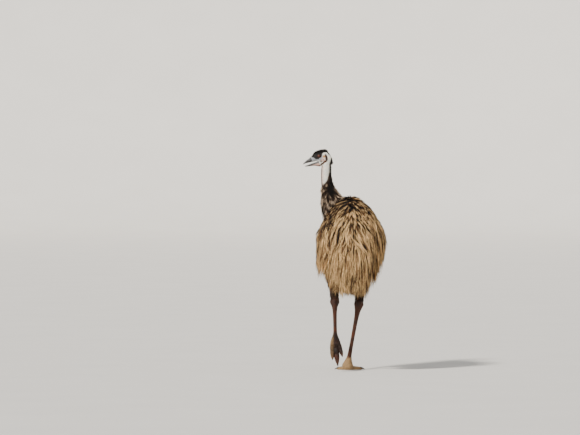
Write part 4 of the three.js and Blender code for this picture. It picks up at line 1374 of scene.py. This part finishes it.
def build_tail_coat():
    def on_tail(p):
        tail, torso = stand_off(tail_size, p)[0], stand_off(torso_size, p)[0]
        return (tail < 8) & (torso > -4) & (p[:, 1] < -200)

    roots, _ = skin_roots(16000, on_tail, 11.0, SEED + 1)
    angle = np.arctan2(roots[:, 0] - TAIL_AT[0], TAIL_AT[1] - roots[:, 1])
    patch = patch_at(angle, clamp((roots[:, 2] - 590) / 270))
    tufts(
        "coat_tail", "tail_feathers", roots, body_stand, body_lie, body_tint, patch, SEED + 2,
        length=hem_length(90), lift=spread_between(14, 30), root=6, pinch=0.4, wave=9.0,
        roll=0.6, width=sizes().strand_width / MM, sweep=0.12,
    )


def neck_lie(p):
    share = neck_stand(p)[2]
    return -curve_way(share) + (0, 0, -0.5)


def build_neck_coat():
    def on_neck(p):
        distance, _, share = neck_stand(p)
        low = (distance < 16) & (stand_off(torso_size, p)[0] > -2) & (share > 0.02)
        return low & (p[:, 2] < neck_edge(p) + 12 * ripple(p, 14, 36))

    def length(roots, rng):
        return lerp(30, 118, step(1225, 1040, roots[:, 2])) * rng.uniform(0.7, 1.15, len(roots))

    def lift(roots, rng):
        z = roots[:, 2]
        close = 0.65 * step(0.1, -0.5, neck_stand(roots)[1][:, 1]) * step(1180, 1090, z)
        return lerp(6, 26, step(1225, 1080, z)) * (1 - close) * rng.uniform(0.6, 1.15, len(roots))

    def wisped(roots, rng):
        """Dark plumage with pale wisps that hang down its sides."""
        colour = streaked(neck_colour, 0.35, 33)(roots, rng)
        wisp = step(0.1, 0.5, 0.5 * ripple(roots, 24, 35) + 0.6 * rng.normal(size=len(roots)))
        side = 1 - nape_mask(roots, 0.6, 0.82)
        pale = 0.9 * wisp * side * step(1240, 1190, roots[:, 2])
        return blend(colour * 0.8, tones().wisp, pale)

    roots, _ = skin_roots(30000, on_neck, 10.0, SEED + 3)
    west = roots[:, 0] < curve_point(neck_stand(roots)[2])[:, 0]
    for side, own in (("left", roots[west]), ("right", roots[~west])):
        _, out, share = neck_stand(own)
        patch = patch_at(np.arctan2(out[:, 0], out[:, 1]), share)
        tufts(
            f"coat_neck_{side}", "neck_feathers", own, body_stand, neck_lie, wisped, patch,
            SEED + len(own), length=length, lift=lift, width=2.1,
        )


def build_leg_coat():
    for side, leg in LEGS.items():
        stand = limb_stand(leg)
        knee = np.array(leg["knee"], float)
        way = np.array(leg["hock"], float) - knee

        def share_of(p):
            return (p - knee) @ way / (way @ way)

        def on_leg(p):
            share, torso = share_of(p), stand_off(torso_size, p)[0]
            return (np.abs(stand(p)[0]) < 9) & (share > 0.0) & (share < 0.9) & (torso > -12)

        def downwards(top, bottom, low, high):
            """A length that changes down the leg."""

            def measure(roots, rng):
                share = step(0.3, 0.88, share_of(roots))
                return lerp(top, bottom, share) * rng.uniform(low, high, len(roots))

            return measure

        def marking(p):
            return blend(tones().brown, tones().neck_dark, 0.35 + 0.45 * step(600, 480, p[:, 2]))

        def lie(p):
            return np.tile(unit(way), (len(p), 1))

        roots, _ = skin_roots(14000, on_leg, 14.0, SEED + 5)
        right, up = square_to(unit(way))
        off = roots - knee
        angle = np.arctan2((off * right).sum(1), (off * up).sum(1))
        tufts(
            f"coat_thigh_{side}", "leg_feathers", roots, stand, lie, streaked(marking, 0.3, 41),
            patch_at(angle, clamp(share_of(roots))), SEED + 6, length=downwards(105, 42, 0.8, 1.15),
            lift=downwards(14, 4, 0.3, 1.2), spread=3.6, stray=0.12,
        )


def build_wings():
    """Two tiny wings, each a slim arm with long loose feathers, close to the flanks."""
    u = torso_share(np.array([WING_Y]))
    shrink = torso_shrink(u)[0]
    high = torso_middle(u)[0] + TORSO_RISE * shrink * np.cos(WING_TURN)
    for side, sign in (("left", -1), ("right", 1)):
        root = np.array([[
            TORSO_AT[0] + sign * TORSO_HALF * shrink * np.sin(WING_TURN), WING_Y, high,
        ]])
        line, outs = grow_paths(
            root, body_stand, body_lie, np.array([185.0]), np.array([18.0]), 12, 24, np.zeros(1)
        )
        ways = unit(np.gradient(line[0], axis=0))[None]

        def place(share, angle, ring):
            at, out, way = (sample(part, share[None])[0] for part in (line, outs, ways))
            out = unit(out)
            bone = 17 * (1 - 0.75 * share ** 1.4) * ring
            return ring_at(at, np.cross(unit(way), out), out, angle, bone, bone * 0.6)

        arm = loft(f"wing_{side}_arm", place, 36, 20)
        # Painted shade: the arm under the wing's feathers takes the plumage's colour made dark.
        paint(arm, body_colour(vertices_of(arm) / MM) * 0.3)
        finished(arm, bpy.data.materials["skin"], "body_feathers", f"wing_{side}")
        rng = np.random.default_rng(SEED + 7)
        count = quicker(200)
        t = rng.uniform(0.02, 0.98, count)
        roots = sample(np.repeat(line, count, 0), t[:, None])[:, 0]
        roots = roots + rng.normal(size=(count, 3)) * (3, 12, 8)
        patch = np.stack((0.02 + 0.95 * t, 0.02 + 0.95 * rng.random(count)), axis=1)
        tufts(
            f"coat_wing_{side}", "body_feathers", roots, body_stand, body_lie, body_tint, patch,
            SEED + 8, length=spread_between(110, 150), lift=spread_between(30, 42), root=-14,
            strands=5, spread=3.6, wave=5.0, width=2.7, bold=0.15,
        )


def build_head_coat():
    """Black bristles on the crown and nape, and fine hairs over the cheeks and upper neck."""

    def on_head(p):
        return (p[:, 2] > 1205) & (to_head(p)[:, 0] < 46)

    roots, outs = skin_roots(26000, on_head, 2.7, SEED + 9, settle=True)
    x, _, z = to_head(roots).T
    bare = (
        (np.hypot(x, z) <= 11.5) | (np.hypot(x - EAR[0], z - EAR[1]) <= 6)
        | ((x > MOUTH_CORNER - 4) & (np.abs(z - MOUTH_Z) < 4.5))
    )
    zone = head_zones(roots)
    dark = np.maximum(zone["cap"], zone["nape"])
    rng = np.random.default_rng(SEED + 10)
    keep = ~bare & (rng.random(len(roots)) < np.maximum(dark, 0.13 + 0.4 * zone["throat"]))
    roots, outs, dark = roots[keep], outs[keep], dark[keep]
    count = len(roots)
    x, y, z = to_head(roots).T
    crown = step(8, 26, z) * step(48, 30, x) * dark
    low = step(-50, -70, z)
    bristle = sizes().bristle_length / MM
    length = 5.0 + bristle * crown + 14.0 * (low * dark) + 3.0 * rng.random(count)
    back, down = np.array((-1.0, 0.0, 0.12)) @ HEAD_AXES, np.array((0.0, 0.0, -1.0))
    lie = blend(blend(back, down, step(-20, -52, x) * step(16, -30, z)), down, low)
    flat = unit(lie - outs * dot(lie, outs))
    stray = rng.normal(size=(count, 3)) * 0.14
    way = unit(flat + outs * (0.28 + 0.5 * crown)[:, None] + stray)
    shares = np.linspace(0, 1, 4)
    t = shares[None, :, None]
    reach = length[:, None, None]
    line = roots[:, None] - outs[:, None] * 0.8 + way[:, None] * reach * t
    line = line + (flat - way)[:, None] * reach * 0.5 * t ** 2
    width = np.where(dark > 0.5, 1.0, 0.6) * rng.uniform(0.7, 1.3, count)
    colour = blend(tones().hair, tones().cap, dark) * rng.uniform(0.7, 1.5, count)[:, None]
    on_neck = 0.01 + 0.45 * clamp((roots[:, 2] - 1200) / 140)
    on_crown = 0.5 + 0.48 * clamp((x + 80) / 130)
    u = 0.01 + 0.97 * (np.arctan2(y, z + 20) / (2 * np.pi) + 0.5)
    v = np.where(step(-56, -60, z) > 0.5, on_neck, on_crown)
    out, shade = (np.repeat(part[:, None], 4, axis=1) for part in (outs, colour))
    patch = np.stack((u, v), axis=1)
    strand_mesh("coat_head", "head_skin", line, out, shares, width, width * 0.5, shade, patch)


# --- Stage ---

def aimed(at, aim):
    """The turn of a light or camera that looks from one place at another."""
    return (Vector(aim) - Vector(at)).to_track_quat("-Z", "Y").to_euler()


def soft_light(name, at, size, power, colour):
    """A far light, as soft as the angle that it fills is wide."""
    bpy.ops.object.light_add(type="SUN", location=at)
    light = bpy.context.object
    light.name = name
    light.data.angle = np.radians(size)
    light.data.energy = power
    light.data.color = colour
    light.rotation_euler = aimed(at, LIGHTS_AIM)


def build_stage():
    s = bpy.context.scene.emu_stage
    deselect()
    bpy.ops.mesh.primitive_circle_add(vertices=96, radius=FLOOR_RADIUS, fill_type="NGON")
    floor = bpy.context.object
    floor.name = "studio_floor"
    bpy.ops.object.mode_set(mode="EDIT")
    bpy.ops.mesh.select_mode(type="EDGE")
    bpy.ops.mesh.select_all(action="SELECT")
    bpy.ops.mesh.region_to_loop()
    for i in range(WALL_STEPS):
        turn = np.radians(90) * (i + 0.5) / WALL_STEPS
        grown = 1 + WALL_SPREAD * np.cos(turn) / WALL_STEPS
        rise = (0, 0, WALL_RISE * np.sin(turn) / WALL_STEPS)
        bpy.ops.mesh.extrude_edges_move(TRANSFORM_OT_translate={"value": rise})
        bpy.ops.transform.resize(value=(grown, grown, 1), center_override=(0, 0, 0))
    bpy.ops.object.mode_set(mode="OBJECT")
    smooth_faces(floor)
    floor.data.materials.append(floor_material())
    soft_light("key", (-5.5, -7.0, 8.0), 7, s.key, (1.0, 0.95, 0.88))
    soft_light("fill", (7.0, -6.0, 3.5), 60, s.fill, (0.9, 0.95, 1.0))
    soft_light("far", (-1.5, 7.0, 6.0), 60, s.fill, (1.0, 0.98, 0.95))
    world = bpy.data.worlds.new("studio")
    bpy.context.scene.world = world
    world.use_nodes = True
    background = world.node_tree.nodes["Background"]
    background.inputs["Color"].default_value = (0.95, 0.96, 0.98, 1)
    background.inputs["Strength"].default_value = s.room
    bpy.ops.object.camera_add(location=CAMERA_AT)
    camera = bpy.context.object
    camera.name = "camera"
    camera.rotation_euler = aimed(CAMERA_AT, CAMERA_AIM)
    camera.data.sensor_width = 36.0
    camera.data.lens = CAMERA_LENS
    camera.data.clip_end = 200.0
    bpy.context.scene.camera = camera


# --- The add-on ---

def colour_prop(name, description, *rgb):
    return bpy.props.FloatVectorProperty(
        name=name, description=description, default=tuple(linear(*rgb)), min=0.0, max=1.0, size=3,
        subtype="COLOR",
    )


class EmuColours(bpy.types.PropertyGroup):
    pale: colour_prop("Pale plumes", "The palest feathers, on the rump and tail", 244, 204, 146)
    brown: colour_prop("Brown plumes", "The feathers of the back and thighs", 112, 76, 48)
    shadow: colour_prop("Dark plumes", "The darkest tufts, deep in the coat", 28, 18, 14)
    neck_dark: colour_prop("Dark neck", "The lower neck's dark feathers", 26, 20, 18)
    wisp: colour_prop("Neck wisps", "Pale wisps down the lower neck", 238, 210, 180)
    cap: colour_prop("Cap", "The black crown and nape", 22, 17, 16)
    hair: colour_prop("Hairs", "Fine hairs on the bare skin", 70, 62, 58)
    neck_skin: colour_prop("Neck skin", "Bare skin of the upper neck", 232, 227, 212)
    cheek_skin: colour_prop("Blue skin", "The bluish bloom on the neck's skin", 198, 207, 208)
    throat: colour_prop("Throat", "The brown skin of the jowl and throat", 68, 36, 21)
    cheek: colour_prop("Cheek", "The pale knob behind the gape", 226, 184, 168)
    lore: colour_prop("Lores", "The bluish grey skin between the bill and the cheek", 134, 138, 148)
    ear: colour_prop("Ear", "The tan patch before the ear", 176, 116, 42)
    # Also the painted shade in the ear's hole.
    ear_crescent_and_hole_shade: colour_prop("Ear's crescent", "The dark skin round and behind the ear", 40, 20, 16)
    bill: colour_prop("Bill", "Grey horn", 44, 42, 43)
    # Painted highlight along the bill's ridge, and the pale band along its cutting edges.
    bill_highlight_and_pale_edge: colour_prop("Bill's edges", "Pale horn on the ridge and edges", 136, 136, 140)
    chin: colour_prop("Chin", "The pale side of the lower bill", 196, 160, 146)
    # Painted shade inside the open mouth and under the upper bill's edge, and at half strength in
    # the nostrils.
    mouth_shade: colour_prop("Mouth", "The mouth's lining", 38, 26, 26)
    iris: colour_prop("Iris", "The iris's bright rays", 150, 58, 22)
    iris_dark: colour_prop("Dark iris", "Between the iris's rays", 66, 24, 13)
    shin: colour_prop("Shins", "Scales of the shins", 76, 34, 8)
    shin_dark: colour_prop("Dark shins", "Dark scales of the shins", 24, 17, 13)
    foot: colour_prop("Feet", "Scales of the feet", 150, 120, 82)
    claw: colour_prop("Claws", "Claw horn", 36, 31, 28)
    claw_tip: colour_prop("Claw tips", "Worn tips of the claws", 84, 76, 66)


def size_prop(name, description, default, low, high):
    return bpy.props.FloatProperty(
        name=name, description=description, default=default, min=low, max=high, precision=4,
        subtype="DISTANCE", unit="LENGTH",
    )


class EmuSizes(bpy.types.PropertyGroup):
    feather_length: size_prop("Longest feather", "Of the body's coat", 0.262, 0.12, 0.3)
    tuft_spacing: size_prop("Tuft spacing", "Between the body's tufts", 0.0132, 0.011, 0.05)
    strand_width: size_prop("Strand width", "Of a body feather's strands", 0.0025, 0.001, 0.006)
    bristle_length: size_prop("Bristle length", "Of the crown's bristles", 0.012, 0.002, 0.02)


def power_prop(name, description, default):
    return bpy.props.FloatProperty(name=name, description=description, default=default, min=0.0)


class EmuStage(bpy.types.PropertyGroup):
    key: power_prop("Key light", "The strong light from behind on the left", 5.0)
    fill: power_prop("Fill lights", "The weaker soft lights", 0.25)
    room: power_prop("Room light", "The light from all round", 0.5)


def maker(name, label, text, build):
    """An operator that builds one piece or group of pieces."""

    class Maker(bpy.types.Operator):
        __doc__ = text
        bl_idname = f"emu.{name}"
        bl_label = label
        bl_options = {"REGISTER", "UNDO"}

        def execute(self, context):
            build()
            return {"FINISHED"}

    Maker.__name__ = f"EMU_OT_{name}"
    return Maker


MAKERS = (
    maker("skin", "Skin", "Builds the skin of the whole bird", build_skin),
    maker("eyes", "Eyes", "Builds both eyes", build_eyes),
    maker("bill", "Bill", "Builds both halves of the bill", build_bill),
    maker("claws", "Claws", "Builds the six claws", build_claws),
    maker("body_coat", "Body Coat", "Grows the body's plumage", build_body_coat),
    maker("tail_coat", "Tail Coat", "Grows the drooping tail plumes", build_tail_coat),
    maker("neck_coat", "Neck Coat", "Grows the lower neck's plumage", build_neck_coat),
    maker("leg_coat", "Thigh Coat", "Grows the thighs' feathers", build_leg_coat),
    maker("wings", "Wings", "Builds the small wings with their feathers", build_wings),
    maker("head_coat", "Head Coat", "Grows the head's bristles and hairs", build_head_coat),
    maker("stage", "Studio", "Adds the floor, lights and camera", build_stage),
)


class EMU_PT_panel(bpy.types.Panel):
    """Lists the emu's pieces, sizes, colours and lights"""
    bl_label = "Emu"
    bl_space_type = "VIEW_3D"
    bl_region_type = "UI"
    bl_category = "Emu"

    def draw(self, context):
        for made in MAKERS:
            self.layout.operator(made.bl_idname)
        for name, group in GROUPS.items():
            for key in group.__annotations__:
                self.layout.prop(getattr(context.scene, name), key)


GROUPS = {"emu_sizes": EmuSizes, "emu_colours": EmuColours, "emu_stage": EmuStage}
CLASSES = (*GROUPS.values(), *MAKERS, EMU_PT_panel)


def register():
    for made in CLASSES:
        bpy.utils.register_class(made)
    for name, group in GROUPS.items():
        setattr(bpy.types.Scene, name, bpy.props.PointerProperty(type=group))


def unregister():
    for name in GROUPS:
        delattr(bpy.types.Scene, name)
    for made in reversed(CLASSES):
        bpy.utils.unregister_class(made)


def main():
    register()
    for made in MAKERS:
        group, name = made.bl_idname.split(".")
        getattr(getattr(bpy.ops, group), name)()


if __name__ == "__main__":
    main()
